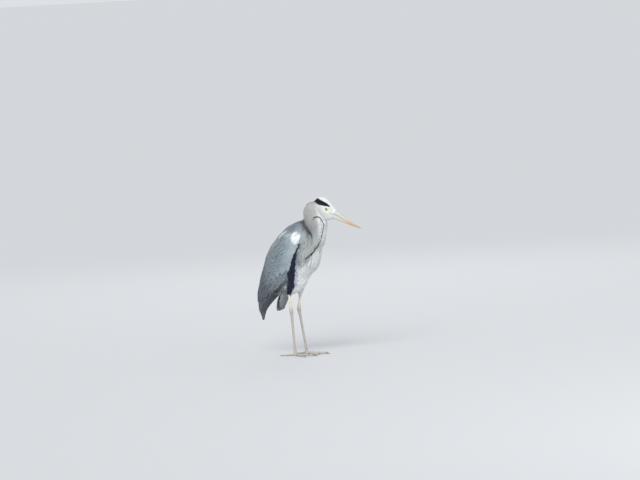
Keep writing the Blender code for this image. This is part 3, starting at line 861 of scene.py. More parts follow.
def areas(m, part):
    """The places that marks lie on: shares of the solids, and marks of a shape of their own."""
    x, y, z, grain = m["x"], m["y"], m["z"], m["grain"]
    neck = part["neck_upper"] + part["neck_lower"]
    wing = part["wing_left"] + part["wing_right"]
    thighs = part["thigh_left"] + part["thigh_right"]
    trunk, head = part["trunk"], part["head"]

    # painted shade between the plumes at the sides of the breast
    spots = np.exp(-((x - 73) / 13) ** 2 - ((z - 335) / 17) ** 2) * ramp(
        -.7, .5, np.sin(y * .8 + z * .11 + x * .2))
    # painted shade in the fold where the mantle lies against the neck
    dark = ramp(418, 432, z) * (1 - ramp(486, 498, z))
    fold = trunk * ramp(-22, -9, grain * 2 - m["behind the neck"]) * dark
    hollow = neck * ramp(-6, -1, m["behind the neck"]) * dark
    # the dark ends of the secondaries along the wing's lower edge, with the shadow under that
    # edge painted in
    low = band(wing_rim(x, z), -3, 3.4, 2.6) * ramp(-4, -14, x) * ramp(196, 206, z)
    # the white patch at the bend of the wing, and the white line of the scapulars
    patch = ramp(1.02, .72, m["out of the patch"]) * ramp(18, 28, y) * (1 - neck)
    far, strength = near_line(x, z, SCAPULAR)
    # the navy band of the flank, and the pale border before it
    body_side = (trunk + wing + thighs) * ramp(8, 18, y - 12 * ramp(268, 250, z))
    flank = band(m["flank x"] + grain, 0, m["flank half"], 2) * m["flank strength"]
    # black brow bands that widen and meet on the nape
    brow = ramp(-.8, .8, m["above the brow"] + grain * .8) * ramp(
        -.8, 1, m["beside the crown"]) * ramp(-20, -24, m["along"]) * (
            1 - ramp(-106, -118, m["along"]))
    nape = np.clip(head + part["neck_upper"] * ramp(540, 548, z), 0, 1)
    return {
        "head": head, "neck": neck, "trunk": trunk, "wing": wing, "thighs": thighs,
        "breast spots": trunk * spots,
        "neck fold": ramp(.1, .8, fold + hollow),
        "wing edge": firm(low * (wing + trunk * ramp(20, 30, y))),
        "wing patch": firm(patch),
        "scapulars": ramp(5, 1.5, far) * strength,
        "flank border": body_side * band(m["before the flank"], 4, 4, 4),
        "flank": firm(flank * body_side),
        "brow": firm(brow * nape),
    }


print("measures", sorted(measures(places[:1])))

# %% The marks, in the order in which they are laid
# colour, strength, the area it lies on, and its bounds: a measure, where the mark begins
# along it and where it is full
MARKS = (
    # neck: warm grey behind, paler in front, white down the very front
    ("neck side", .6, "neck", ("x", 84, 104), ("x", 132, 118), ("y", 10, 20), ("z", 500, 476)),
    ("cheek", .85, "neck", ("x", 104, 122), ("z", 478, 494), ("z", 528, 514)),
    ("white", 1, "neck", ("throat x", 106, 122), ("y", 23, 16)),
    ("white", .6, "head", ("along", -30, -10)),
    # breast: grey at its sides, a white middle with long plumes, and the white belly
    ("breast side", 1, "trunk", ("breast x", 34, 58), ("z", 452, 436)),
    ("breast low", 1, "trunk", ("breast x", 34, 58), ("z", 400, 330)),
    ("white", .9, "trunk", ("y", 24, 12), ("keel x", 84, 100)),
    ("white", .6, "trunk", ("belly y", 42, 26), ("x", 44, 60), ("z", 392, 366)),
    # painted shade between the plumes at the breast's sides
    ("breast spots", .7, "breast spots", ("y", 18, 28)),
    ("belly", 1, "trunk", ("before the flank", -2, 5), ("belly z", 334, 308)),
    ("belly", 1, "trunk", ("z", 262, 240), ("x", -30, -12)),
    # painted shade: grey on the pale feathers under the body before the tail
    ("undertail", 1, "trunk", ("x", -14, -30), ("z", 268, 250)),
    # shoulder, and painted shade in the fold behind the neck
    ("shoulder", .8, "trunk", ("x", 20, 44), ("y", 16, 34), ("z", 400, 425)),
    ("crease", 1, "neck fold"),
    # wing: pale along its front edge, darker behind, and dark along its lower edge, where the
    # secondaries' slate ends carry painted shadow
    ("wing front", .9, "wing", ("behind the wing's front", 62, 14), ("z", 300, 372)),
    ("wing low", 1, "wing", ("z", 310, 270)),
    ("mantle", .7, "wing", ("wing top", -10, 60)),
    ("wing back", 1, "wing", ("wing x", -40, -130)),
    ("slate", 1, "wing", ("z", 275, 235), ("x", -80, -105)),
    ("wing edge", .85, "wing edge"),
    ("patch", 1, "wing patch"),
    ("white", 1, "scapulars", ("y", 26, 34)),
    # flank and thighs
    ("lavender", .75, "flank border", ("z", 236, 256), ("z", 340, 318)),
    ("navy", 1, "flank"),
    # painted shade on the thighs behind the flank
    ("undertail", .9, "thighs", ("behind the flank", 0, 2)),
    # head: white crown, black brow, and the bare face
    ("white", 1, "head", ("above the brow", -2, 1)),
    ("black", 1, "brow"),
    ("lores", 1, "face"),
    ("lavender", .85, "face", ("along", -13, -5)),
)


def markings(p, part):
    """The colour of places p, where part holds each solid's share of them."""
    m = measures(p)
    area = dict(areas(m, part), face=face_bare(p))
    colour = sum(part[n][:, None] * COLOURS[BASE[n]] for n in FLESH)
    for name, strength, where, *bounds in MARKS:
        here = area[where] * strength
        for measure, begins, full in bounds:
            here = here * ramp(begins, full, m[measure])
        colour = mix(colour, COLOURS[name], here)
    cloud = np.sin(m["x"] * .071 + m["z"] * .053 + 1) * np.sin(m["z"] * .083 - m["x"] * .037)
    return np.clip(colour * (1 + .025 * (cloud + m["grain"])[:, None]), 0, 1)


share = {n: blurred(belongs[n], pairs, 3) for n in FLESH}
total = np.maximum(sum(share.values()), 1e-6)
share = {n: s / total for n, s in share.items()}
leg_colour = mix(COLOURS["bare leg"], COLOURS["bare thigh"], ramp(160, 186, places[:, 2]))
marked = np.where(is_body[:, None], markings(places, share), leg_colour)
print(len(MARKS), "marks on", len(marked), "points, mean", marked.mean(0).round(2))

# %% Numbers that the skin hands on to its feathers


def store(mesh, name, values):
    """Keep a number or a vector for each point of a mesh."""
    values = np.asarray(values, np.float32)
    kind = "FLOAT" if values.ndim == 1 else "FLOAT_VECTOR"
    old = mesh.attributes.get(name)
    if old:
        mesh.attributes.remove(old)
    kept = mesh.attributes.new(name, kind, "POINT")
    kept.data.foreach_set("value" if kind == "FLOAT" else "vector", values.ravel())


store(skin_mesh, "lie", lie)
store(skin_mesh, "facing", smooth_facing)
store(skin_mesh, "tint", marked)
print("kept", [a.name for a in skin_mesh.attributes if a.domain == "POINT"][:6])

# %% [markdown]
# ## One feather
#
# A feather is a shaft with a vane on each side, and a vane is made of barbs that
# part into clumps at its edge. Each pattern feather is one unit long and one
# wide, closed, and thinnest at its edges. It keeps three numbers at each point:
# how far along it lies, how far across, and how high in its own thickness. The
# finished coats are bent and coloured by these.

# %% Pattern feathers
# share of the length, half width as a share of the widest
SHAPES = {
    "down": ((0, .35), (.25, .8), (.55, 1), (.8, .85), (1, .35)),
    "contour": ((0, .3), (.2, .78), (.5, 1), (.75, .93), (.92, .6), (1, .16)),
    "plume": ((0, .3), (.12, .75), (.3, 1), (.6, .72), (.85, .38), (1, .05)),
    "covert": ((0, .35), (.2, .85), (.55, 1), (.82, .95), (.95, .62), (1, .2)),
    "quill": ((0, .5), (.15, .9), (.5, 1), (.8, .92), (.93, .66), (1, .12)),
}


EDGE_RISE, KEEL_RISE = .25, -.4      # shares of a feather's thickness
PATTERN_THICK = 0.0001               # metres, before the coat gives each point its height


def pattern(name, clumps, sweep, ragged, seed):
    """A pattern feather with that many clumps of barbs on each side.

    sweep is how far a clump's end lies ahead of its root, and ragged how
    unequal the clumps are."""
    draw = np.random.default_rng(seed)
    shape = np.array(SHAPES[name]).T
    points, numbers, faces = [], [], []

    def point(along, across, rise):
        points.append((across * 0.5, along, rise * PATTERN_THICK))
        numbers.append((along, across, rise))
        return len(points) - 1

    stations = [i / clumps for i in range(clumps + 1)]
    ridge = [point(t, 0, 1) for t in stations]
    keel = [point(t, 0, KEEL_RISE) for t in stations]
    for side in (-1, 1):
        for i, (a, b) in enumerate(zip(stations, stations[1:])):
            reach = 1 + ragged * draw.uniform(-1, .6)
            ends = []
            for t in (a, b - (b - a) * ragged * .9 * draw.uniform(.2, 1)):
                t_end = min(t + sweep * (1 - t), 1.0) + ragged * .02 * draw.uniform(-1, 1)
                half = float(np.interp(min(t_end, 1.0), *shape)) * reach
                ends.append(point(t_end, side * half, EDGE_RISE))
            for face in ((ridge[i], ridge[i + 1], ends[1], ends[0]),
                         (keel[i], ends[0], ends[1], keel[i + 1]),
                         (ridge[i], ends[0], keel[i]), (ridge[i + 1], keel[i + 1], ends[1])):
                faces.append(face if side < 0 else face[::-1])
    mesh = bpy.data.meshes.new("pattern_" + name)
    mesh.from_pydata(points, [], faces)
    for key, values in zip(("along", "across", "rise"), np.array(numbers).T):
        store(mesh, key, values)
    mesh.shade_smooth()
    return link(bpy.data.objects.new("pattern_" + name, mesh))


# shape: clumps on each side, sweep, raggedness, seed
patterns = {name: pattern(name, *how) for name, how in {
    "down": (3, .30, .30, 1), "contour": (6, .22, .20, 2), "plume": (10, .10, .30, 3),
    "covert": (7, .20, .07, 4), "quill": (16, .06, .03, 5)}.items()}
print("patterns", {n: triangles_of(o.data) for n, o in patterns.items()})

# %% [markdown]
# ## Laying a coat
#
# Every coat is one node tree. It scatters roots over the part of the skin that a
# mask marks, or takes roots that are given, and sets a pattern feather on each,
# turned to the lie of the feathers. Then comes the step that makes it plumage:
# every point of every feather is dropped to the skin below it and raised again by
# a height that grows from root to tip. Long feathers so bend round the body, and
# each one's tip covers the next one's root.

# %% A small kit for node trees


class Wire:
    """A value in a node tree. Arithmetic on it adds the nodes that work it out."""

    def __init__(self, tree, socket):
        self.tree, self.socket = tree, socket

    def math(self, operation, *others):
        """The result of one step of arithmetic that begins with this value."""
        return make(self.tree, "ShaderNodeMath", dict(enumerate((self, *others))),
                    operation=operation)

    def __add__(self, other):
        return self.math("ADD", other)

    def __sub__(self, other):
        return self.math("SUBTRACT", other)

    def __mul__(self, other):
        return self.math("MULTIPLY", other)

    def __pow__(self, other):
        return self.math("POWER", other)

    def __abs__(self):
        return self.math("ABSOLUTE")

    def below_one(self):
        """How far the value is below one."""
        return self.math("MULTIPLY", -1.0).math("ADD", 1.0)


def add_node(tree, kind, inputs=(), **settings):
    """Add a node, set its settings, and join or set its inputs by place or name."""
    node = tree.nodes.new(kind)
    for key, value in settings.items():
        setattr(node, key, value)
    for key, value in dict(inputs).items():
        if isinstance(value, Wire):
            tree.links.new(value.socket, node.inputs[key])
        else:
            node.inputs[key].default_value = value
    return node


def make(tree, kind, inputs=(), out=0, **settings):
    """Add a node and take one of its outputs."""
    return Wire(tree, add_node(tree, kind, inputs, **settings).outputs[out])


def new_tree(kind, name, inputs, outputs):
    """A tree with named inputs and outputs, and the wires that come in.

    Each input is (name, kind) or (name, kind, value)."""
    tree = bpy.data.node_groups.new(name, kind)
    for rows, way in ((inputs, "INPUT"), (outputs, "OUTPUT")):
        for title, socket_kind, *value in rows:
            socket = tree.interface.new_socket(
                title, in_out=way, socket_type="NodeSocket" + socket_kind)
            if value:
                socket.default_value = value[0]
    return tree, {s.name: Wire(tree, s) for s in add_node(tree, "NodeGroupInput").outputs}


def xyz(tree, x=0.0, y=0.0, z=0.0):
    """A vector from its three numbers."""
    return make(tree, "ShaderNodeCombineXYZ", {0: x, 1: y, 2: z})


def scaled(vector, by):
    """A vector or a colour, made longer or brighter by a number."""
    return make(vector.tree, "ShaderNodeVectorMath", {0: vector, "Scale": by},
                operation="SCALE")


def set_inputs(modifier, values):
    """Set a modifier's inputs by name, through their sockets' identifiers."""
    for item in modifier.node_group.interface.items_tree:
        if item.item_type == "SOCKET" and item.in_out == "INPUT" and item.name in values:
            modifier[item.identifier] = values[item.name]


print("node kit ready")

# %% The coat's tree
PATCH = 0.003           # width of a feather's patch on the map
VARY = (0.86, 1.14)     # the shortest and longest feathers of a size
STEEP, LEVEL_OUT = 1.28, 0.28        # how fast a feather climbs, and how it levels out
COAT_INPUTS = (
    ("Geometry", "Geometry"), ("Spacing", "Float"), ("Scatter", "Bool"), ("Skin", "Object"),
    ("Feather", "Object"), ("Thickness", "Float"), ("Camber", "Float"),
    ("Looseness", "Float"), ("Turn", "Float"), ("Seed", "Int"), ("Material", "Material"))


def coat_tree():
    """Roots on the skin, feathers on the roots, and the skin's form under them."""
    tree, given = new_tree("GeometryNodeTree", "coat of feathers", COAT_INPUTS,
                           (("Geometry", "Geometry"),))
    seed, spacing = given["Seed"], given["Spacing"]

    def kept(name, kind="FLOAT"):
        return make(tree, "GeometryNodeInputNamedAttribute", {"Name": name}, data_type=kind)

    def keep(geometry, name, value, kind, domain="POINT"):
        return make(tree, "GeometryNodeStoreNamedAttribute", {
            "Geometry": geometry, "Name": name, "Value": value}, data_type=kind, domain=domain)

    def chance(low, high, seed):
        return make(tree, "FunctionNodeRandomValue", {2: low, 3: high, "Seed": seed}, 1,
                    data_type="FLOAT")

    def shape_of(thing):
        return make(tree, "GeometryNodeObjectInfo", {"Object": thing}, "Geometry")

    # roots, scattered no closer than the spacing, or as they are listed
    dense = make(tree, "ShaderNodeMath", {0: 3.0, 1: spacing ** 2.0}, operation="DIVIDE")
    scatter = make(tree, "GeometryNodeDistributePointsOnFaces", {
        "Mesh": given["Geometry"], "Distance Min": spacing, "Density Max": dense,
        "Density Factor": kept("mask"), "Seed": seed}, distribute_method="POISSON")
    listed = make(tree, "GeometryNodeMeshToPoints", {"Mesh": given["Geometry"]})
    roots = make(tree, "GeometryNodeSwitch", {
        "Switch": given["Scatter"], "False": listed, "True": scatter}, input_type="GEOMETRY")
    roots = keep(roots, "root_map", kept(BAKE_MAP, "FLOAT_VECTOR"), "FLOAT_VECTOR")
    roots = keep(roots, "luck", chance(0.0, 1.0, seed), "FLOAT")

    # each feather stands with its length along the lie and its top away from the skin
    stand = make(tree, "FunctionNodeAxesToRotation", {
        "Primary Axis": kept("facing", "FLOAT_VECTOR"),
        "Secondary Axis": kept("lie", "FLOAT_VECTOR")}, primary_axis="Z", secondary_axis="Y")
    turn = chance(given["Turn"] * -1.0, given["Turn"], seed + 7.0)
    turned = make(tree, "FunctionNodeRotateRotation", {
        "Rotation": stand, "Rotate By": xyz(tree, z=turn)}, rotation_space="LOCAL")
    size = xyz(tree, kept("width"), kept("length") * chance(*VARY, seed + 13.0), 1.0)
    many = make(tree, "GeometryNodeInstanceOnPoints", {
        "Points": roots, "Instance": shape_of(given["Feather"]), "Rotation": turned,
        "Scale": size})
    real = make(tree, "GeometryNodeRealizeInstances", {"Geometry": many})

    # drop to the skin and raise again
    ground = shape_of(given["Skin"])
    below = make(tree, "GeometryNodeProximity", {"Geometry": ground}, "Position",
                 target_element="FACES")
    facing = make(tree, "GeometryNodeSampleNearestSurface", {
        "Mesh": ground, "Value": kept("facing", "FLOAT_VECTOR")}, data_type="FLOAT_VECTOR")
    facing = make(tree, "ShaderNodeVectorMath", {0: facing}, operation="NORMALIZE")
    along, across, low, high = (kept(n) for n in ("along", "across", "low", "high"))
    climb = along * STEEP - along ** 4.0 * LEVEL_OUT
    height = kept("rise") * given["Thickness"] + ((high - low) * climb + low)
    height = height - across ** 2.0 * given["Camber"]
    raised = make(tree, "ShaderNodeVectorMath", {0: below, 1: scaled(facing, height)},
                  operation="ADD")
    final = make(tree, "ShaderNodeMix", {
        0: given["Looseness"], 4: raised, 5: make(tree, "GeometryNodeInputPosition")}, 1,
        data_type="VECTOR")
    bent = make(tree, "GeometryNodeSetPosition", {"Geometry": real, "Position": final})

    # the patch on the map
    corner = xyz(tree, across * (PATCH / 2), along * PATCH - PATCH / 2)
    spot = make(tree, "ShaderNodeVectorMath", {
        0: kept("root_map", "FLOAT_VECTOR"), 1: corner}, operation="ADD")
    mapped = keep(bent, BAKE_MAP, spot, "FLOAT2", "CORNER")
    done = make(tree, "GeometryNodeSetMaterial", {
        "Geometry": mapped, "Material": given["Material"]})
    add_node(tree, "NodeGroupOutput", {0: done})
    return tree


COAT = coat_tree()
print("coat tree", len(COAT.nodes), "nodes")

# %% [markdown]
# ## What feathers are made of
#
# Close to, a vane is fine parallel barbs that run out from the shaft at a slant,
# a little lighter and darker by turns, with a pale shaft between. That is one
# node group, which every plumage finish uses with its own pitch. Each feather
# also has its own luck, a number that makes it a little lighter or darker than
# its neighbour.

# %% The vane group


def mix_colour(share, a, b, blend="MIX"):
    """Two colours mixed by a share."""
    return make(share.tree, "ShaderNodeMix", {0: share, 6: a, 7: b}, 2, data_type="RGBA",
                blend_type=blend)


def attribute(tree, name, out="Fac"):
    """A number or a colour that a mesh keeps."""
    return make(tree, "ShaderNodeAttribute", (), out, attribute_name=name)


def laid_out(value, low, high):
    """A number laid out between 0 at low and 1 at high."""
    return make(value.tree, "ShaderNodeMapRange", {
        "Value": value, "From Min": low, "From Max": high})


def make_vane_group():
    """Barbs, shaft, tip and root shade from a feather's own numbers."""
    tree, given = new_tree("ShaderNodeTree", "vane", (
        ("Barbs", "Float", 40.0), ("Slant", "Float", 12.0), ("Contrast", "Float", .25),
        ("Shaft", "Float", .05), ("Spread", "Float", .3), ("Tip", "Float", 0.0),
        ("Root Shade", "Float", .35), ("Colour", "Color", (.5, .5, .5, 1)),
        ("Tip Colour", "Color", (.9, .9, .9, 1)), ("Shaft Colour", "Color", (.6, .6, .6, 1))),
        (("Colour", "Color"), ("Height", "Float")))
    along, luck = attribute(tree, "along"), attribute(tree, "luck")
    aside = abs(attribute(tree, "across"))

    # barbs: an even wave, broken by clumps that differ from feather to feather
    phase = along * given["Barbs"] - aside * given["Slant"]
    clumps = make(tree, "ShaderNodeTexNoise", {
        "Vector": xyz(tree, phase * .5, luck * 57, aside), "Scale": 1.0, "Detail": 2.0}, "Fac")
    barbs = (phase * math.tau).math("SINE") * .22 + clumps * .78
    shaft = laid_out(aside, given["Shaft"] * .4, given["Shaft"]).below_one()

    # light and dark: between barbs, between feathers, and towards the covered root
    light = (barbs - .42) * given["Contrast"]
    own = (luck - .5) * given["Spread"]
    root = laid_out(along, .1, .75).below_one() * given["Root Shade"]
    tip = laid_out(clumps * .25 + along, .62, 1.12) * given["Tip"]
    colour = mix_colour(tip, given["Colour"], given["Tip Colour"])
    colour = mix_colour(shaft * .6, colour, given["Shaft Colour"], "MULTIPLY")
    add_node(tree, "NodeGroupOutput", {
        0: scaled(colour, light + own + 1.0 - root), 1: barbs + shaft * 1.5})
    return tree


vane_group = make_vane_group()
print("vane group", len(vane_group.nodes), "nodes")

# %% Plumage finishes
PLUMAGE_GLOSS = .18
VANE_BUMP = (.35, .00025)            # strength, and depth in metres


def shaded(name, rough, coat=0.0, gloss=.5):
    """A material, its tree and its shader."""
    mat = bpy.data.materials.new(name)
    mat.use_nodes = True
    shader = mat.node_tree.nodes["Principled BSDF"]
    shader.inputs["Roughness"].default_value = rough
    shader.inputs["Coat Weight"].default_value = coat
    shader.inputs["Specular IOR Level"].default_value = gloss
    return mat, mat.node_tree, shader


def finish_surface(shader, colour, height, strength, distance):
    """Give a shader its colour and the height that raises its surface."""
    tree = colour.tree
    tree.links.new(colour.socket, shader.inputs["Base Color"])
    bump = add_node(tree, "ShaderNodeBump", {
        "Height": height, "Strength": strength, "Distance": distance})
    tree.links.new(bump.outputs[0], shader.inputs["Normal"])


def plumage(name, barbs, slant, contrast, shaft, tip, spread, root, rough=.62,
            tip_colour=(.80, .83, .86), shaft_colour=(.55, .56, .57)):
    """A feather finish: its colour is the tint that the coat was given."""
    mat, tree, shader = shaded(name, rough, gloss=PLUMAGE_GLOSS)
    vane = add_node(tree, "ShaderNodeGroup", {
        "Barbs": barbs, "Slant": slant, "Contrast": contrast, "Shaft": shaft,
        "Spread": spread, "Root Shade": root, "Tip Colour": (*tip_colour, 1),
        "Shaft Colour": (*shaft_colour, 1), "Colour": attribute(tree, "tint", "Color"),
        "Tip": attribute(tree, "tip") * tip}, node_tree=vane_group)
    colour, height = (Wire(tree, socket) for socket in vane.outputs)
    finish_surface(shader, colour, height, *VANE_BUMP)
    return mat


FINISH = {
    "face": plumage("face plumage", 10, 3, .22, .01, .0, spread=.06, root=.14, rough=.72),
    "neck": plumage("neck plumage", 14, 5, .20, .01, .0, spread=.05, root=.14, rough=.7),
    "soft": plumage("soft plumage", 22, 8, .20, .01, .0, spread=.07, root=.20),
    "covert": plumage("wing coverts", 30, 9, .16, .02, .35, spread=.07, root=.22,
                      tip_colour=(.36, .41, .46)),
    "plume": plumage("long plumes", 60, 6, .24, .08, .8, spread=.14, root=.20),
    "quill": plumage("flight feathers", 90, 10, .16, .05, .6, spread=.10, root=.15, rough=.5,
                     tip_colour=(.045, .055, .07), shaft_colour=(.3, .3, .3)),
}
print("finishes", sorted(FINISH))

# %% Making a coat
TEAR_SLACK = .0018      # metres that any edge of a feather may be longer than it should
VISIBLE = 0.7           # how far along a feather the part lies that shows
coats = {}
skin_finder = KDTree(len(places))
for number, spot in enumerate(places):
    skin_finder.insert(spot, number)
skin_finder.balance()


def tint_ahead(p, way, length):
    """The skin's colour where the visible end of a feather lies."""
    ahead = p + way * (length * VISIBLE)[:, None]
    return marked[[skin_finder.find(spot)[1] for spot in ahead]]


def store_sizes(mesh, sizes):
    """Keep feathers' sizes in metres, and the numbers that have no size as they are."""
    for key, value in sizes.items():
        store(mesh, key, value * (1 if key in ("mask", "tip") else MM))


def take_out_torn(coat, shape, most):
    """Remove the feathers that a fold of the skin has drawn out more than so many times."""
    own, mesh = patterns[shape].data, coat.data
    size = len(own.vertices)
    here = read_all(mesh.vertices, "co", 3).reshape(-1, size, 3)
    width, length = (read_all(mesh.attributes[key].data, "value").reshape(-1, size)[:, :1]
                     for key in ("width", "length"))
    flat = read_all(own.vertices, "co", 3)
    start, end = edges_of(own).T
    step = flat[start] - flat[end]
    want = np.hypot(step[:, 0] * width, step[:, 1] * length)
    got = np.linalg.norm(here[:, start] - here[:, end], axis=2)
    torn = (got > want * most + TEAR_SLACK).any(axis=1)
    if torn.any():
        without_points(mesh, np.repeat(torn, size))
    return int(torn.sum()), len(torn)


def dress(name, mesh, scatter, finish, shape, slot, thick, camber, turn, seed, spacing=1.0,
          loose=0.0, most=1.9, stands_for=()):
    """Grow a coat from a mesh that carries its numbers, and make it a plain mesh."""
    coat = link(bpy.data.objects.new(name, mesh))
    grow = coat.modifiers.new("grow", "NODES")
    grow.node_group = COAT
    set_inputs(grow, {
        "Spacing": spacing * MM, "Scatter": scatter, "Skin": skin,
        "Feather": patterns[shape], "Thickness": thick * MM, "Camber": camber * MM,
        "Looseness": loose, "Turn": math.radians(turn), "Seed": seed,
        "Material": FINISH[finish]})
    settle(coat)
    torn, many = take_out_torn(coat, shape, most)
    for extra in ("mask", "length", "width", "low", "high", "lie", "facing", "root_map"):
        kept = coat.data.attributes.get(extra)
        if kept:
            coat.data.attributes.remove(kept)
    coats[name] = triangles_of(coat.data)
    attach(coat, "root")
    if stands_for:
        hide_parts(*stands_for)
    print(f"{name}: {coats[name]} triangles; {torn} of {many} feathers taken out")


def scattered(name, mask, length, width, low, high, tip, ahead=1.0, **how):
    """A coat scattered over the masked skin; sizes in mm, one for each point or for all."""
    kept = np.asarray(mask) > 0.02
    mesh = skin_mesh.copy()
    without_points(mesh, ~kept)
    sizes = {key: np.broadcast_to(np.asarray(value, float), kept.shape)[kept]
             for key, value in (("mask", mask), ("length", length), ("width", width),
                                ("low", low), ("high", high), ("tip", tip))}
    store_sizes(mesh, sizes)
    store(mesh, "tint", tint_ahead(places[kept], lie[kept], sizes["length"] * ahead))
    dress(name, mesh, True, **how)


print("ready to dress; skin", len(places), "points")

# %% [markdown]
# ## Head
#
# A heron's face is clothed in feathers hardly longer than a grain of rice. They
# begin as bristles behind the bill and round the bare lids and grow to a loose
# cap on the nape. They are scattered closest of all, and the smallest are laid
# flattest.

# %% The head's coat
FACE = dict(finish="face", shape="down", slot="head_feather")
along, above = head_axes(places)
x, y, z = places[:, 0], np.abs(places[:, 1]), places[:, 2]
on = {n: np.where(is_body, share[n], 0) for n in FLESH}
bare, from_eye = face_bare(places), eye_distance(along, above)
level = (smooth_facing * broad_facing).sum(1)
fold = ramp(.96, .80, level)        # 1 in the creases, where feathers are short
short = soft_start(places) ** .6    # 1 behind the bill, where they are shortest
cap = ramp(20, 30, above) * ramp(-50, -75, along)
near_lids = 1 - .4 * (1 - ramp(10, 20, from_eye))
high = (mix(1.5, .6, soft_start(places)) + cap) * near_lids * (1 - .4 * fold)
scattered("lid_coat", (on["head"] > .3) * (1 - ramp(.3, .6, bare)) * (from_eye < 13),
          length=1.7, width=.62, low=.05, high=.28, tip=0, spacing=.62, thick=.04, camber=.03,
          turn=10, seed=12, **FACE)
scattered("head_coat",
          (on["head"] > .3) * (from_eye > 11.2) * (1 - ramp(.2, .5, bare)) * (along < -.5),
          length=(mix(8, 2.9, short) + 3.5 * cap) * near_lids * (1 - .5 * fold),
          width=mix(1.7, .9, short), low=high * .45, high=high, tip=.2, spacing=1.04,
          thick=.06, camber=.04, turn=7, seed=11, **FACE)
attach(skin, "root")
print("coat so far", sum(coats.values()))

# %% [markdown]
# ## Neck, breast and back
#
# Down the neck the feathers grow to a centimetre and lie like velvet. On the
# breast and flanks they are broad and soft, and on the mantle long and narrow,
# with pale ends. Each region is scattered by itself, and the regions overlap by
# a feather's length, so that no edge shows between them.

# %% The neck's coat
neck_share = on["neck_upper"] + on["neck_lower"]
down_neck = ramp(470, 400, z)       # 0 at the throat, 1 at the foot of the neck
high = mix(2.7, 3.3, down_neck) * (1 - .4 * fold)
scattered("neck_coat", (neck_share > .12) * (level > .5),
          length=(11 + 4 * down_neck) * (1 - .5 * fold), width=2.5 + .9 * down_neck,
          low=high * .62, high=high, tip=.4, finish="neck", shape="down", spacing=1.9,
          thick=.07, camber=.05, turn=6, seed=21, slot="neck_feather")

# %% Breast, flanks, belly and thighs
BODY = dict(finish="soft", shape="contour", thick=.1, tip=.3)
edge_x = along_table(z, WING_FRONT)[0]
scattered("breast_coat", (z < 448) * (on["trunk"] > .1) * (x > np.maximum(edge_x - 14, -26)),
          length=(20 + 8 * ramp(260, 330, z)) * (1 - .5 * fold), width=5.4,
          low=1.5 - .6 * fold, high=4.4 - 1.6 * fold, spacing=3.7, camber=.12, turn=5,
          seed=31, slot="back_feather", **BODY)
scattered("undertail_coverts", (on["trunk"] > .5) * (z < 272) * (x < -14) * (x > -92),
          length=14 - 6 * fold, width=4.4, low=1.2, high=3.8 - fold, spacing=3.0, camber=.1,
          turn=4, seed=33, most=2.6, slot="back_feather", **BODY)
DOWN = dict(BODY, shape="down", camber=.1)
scattered("undertail_down", is_body * (np.abs(x + 54) < 26) * (np.abs(z - 236) < 24) * (y < 34),
          length=4.2, width=2.6, low=.6, high=2.0, spacing=2.0, turn=6, seed=35,
          slot="back_feather", **DOWN)
up_thigh, above_shank = ramp(215, 250, z), ramp(212, 240, z)
scattered("thigh_coat", (on["thigh_left"] + on["thigh_right"] > .3) * (z > 213),
          length=mix(8, 14, up_thigh), width=mix(3, 5, up_thigh), low=mix(.3, 1.5, above_shank),
          high=mix(1.2, 2.8, above_shank), ahead=.1, spacing=2.4, turn=8, seed=41,
          slot="thigh_feather", **DOWN)

# %% Underwing coverts, on the lower face of the folded wings behind the tail
UNDERSIDE, SLANTED = np.array((.6, 0, -.8)), .25
downward = smooth_facing @ UNDERSIDE > SLANTED
wings_share = sum(on[n] for n in ("wing_left", "wing_right", "primaries_left",
                                  "primaries_right"))
scattered("underwing_coverts", (wings_share > .3) * downward * (z < 266),
          length=18, width=7, low=.8, high=2.2, tip=.4, finish="covert", shape="contour",
          spacing=4.6, thick=.15, camber=.15, turn=5, seed=45, most=2.6, slot="wing_feather")

# %% Mantle and rump
upper = ramp(440, 470, z)           # 1 between the shoulders
scattered("mantle_coat", (on["trunk"] > .1) * (z > 250) * ((x < edge_x + 6) | (z > 436)),
          length=(28 - 10 * upper) * (1 - .5 * fold), width=6.4 - 2.2 * upper,
          low=1.6 - .7 * fold, high=4.5 - .6 * upper - 1.4 * fold, spacing=3.9, camber=.12,
          turn=5, seed=51, slot="back_feather", **dict(BODY, tip=.4))

# %% [markdown]
# ## The folded wing
#
# A folded wing shows its feathers in ranks. Small coverts clothe the bend, then
# come two ranks of larger ones, and under them the long secondaries, each lying
# on the next like slates. The small ranks are scattered. The long feathers are
# few and have their places, so their roots are listed one by one.

# %% Small and middle coverts
COVERT = dict(finish="covert", shape="covert", slot="wing_feather")
behind = edge_x - x
size = ramp(-5, 75, behind) * ramp(430, 380, z)
above_rim = wing_rim(x, z) < -20 - 14 * ramp(44, 100, behind)
for side in SIDES:
    wing = on["wing_" + side] > .1
    scattered("lesser_coverts_" + side, wing * (behind < 62) * (z > 250),
              length=mix(16, 28, size), width=mix(5, 7, size), low=2.0,
              high=mix(3.8, 4.6, size), tip=.2, spacing=3.8, thick=.1, camber=.08, turn=4,
              seed=61 + SIDES[side], **COVERT)
    scattered("median_coverts_" + side, wing * (behind > 44) * above_rim,
              length=mix(30, 40, ramp(50, 110, behind)), width=8.5, low=1.9, high=4.6, tip=.3,
              spacing=5.8, thick=.12, camber=.12, turn=3, seed=71 + SIDES[side], **COVERT)
print("coat so far", sum(coats.values()))

# %% Roots that are listed
skin_tree = BVHTree.FromPolygons([Vector(p) for p in places],
                                 [tuple(f.vertices) for f in skin_mesh.polygons])
skin_uv = read_all(skin_mesh.uv_layers[BAKE_MAP].data, "uv", 2)
loop_of = np.zeros(len(places), dtype=int)
loop_of[read_all(skin_mesh.loops, "vertex_index", 1, np.int64)] = np.arange(len(skin_uv))


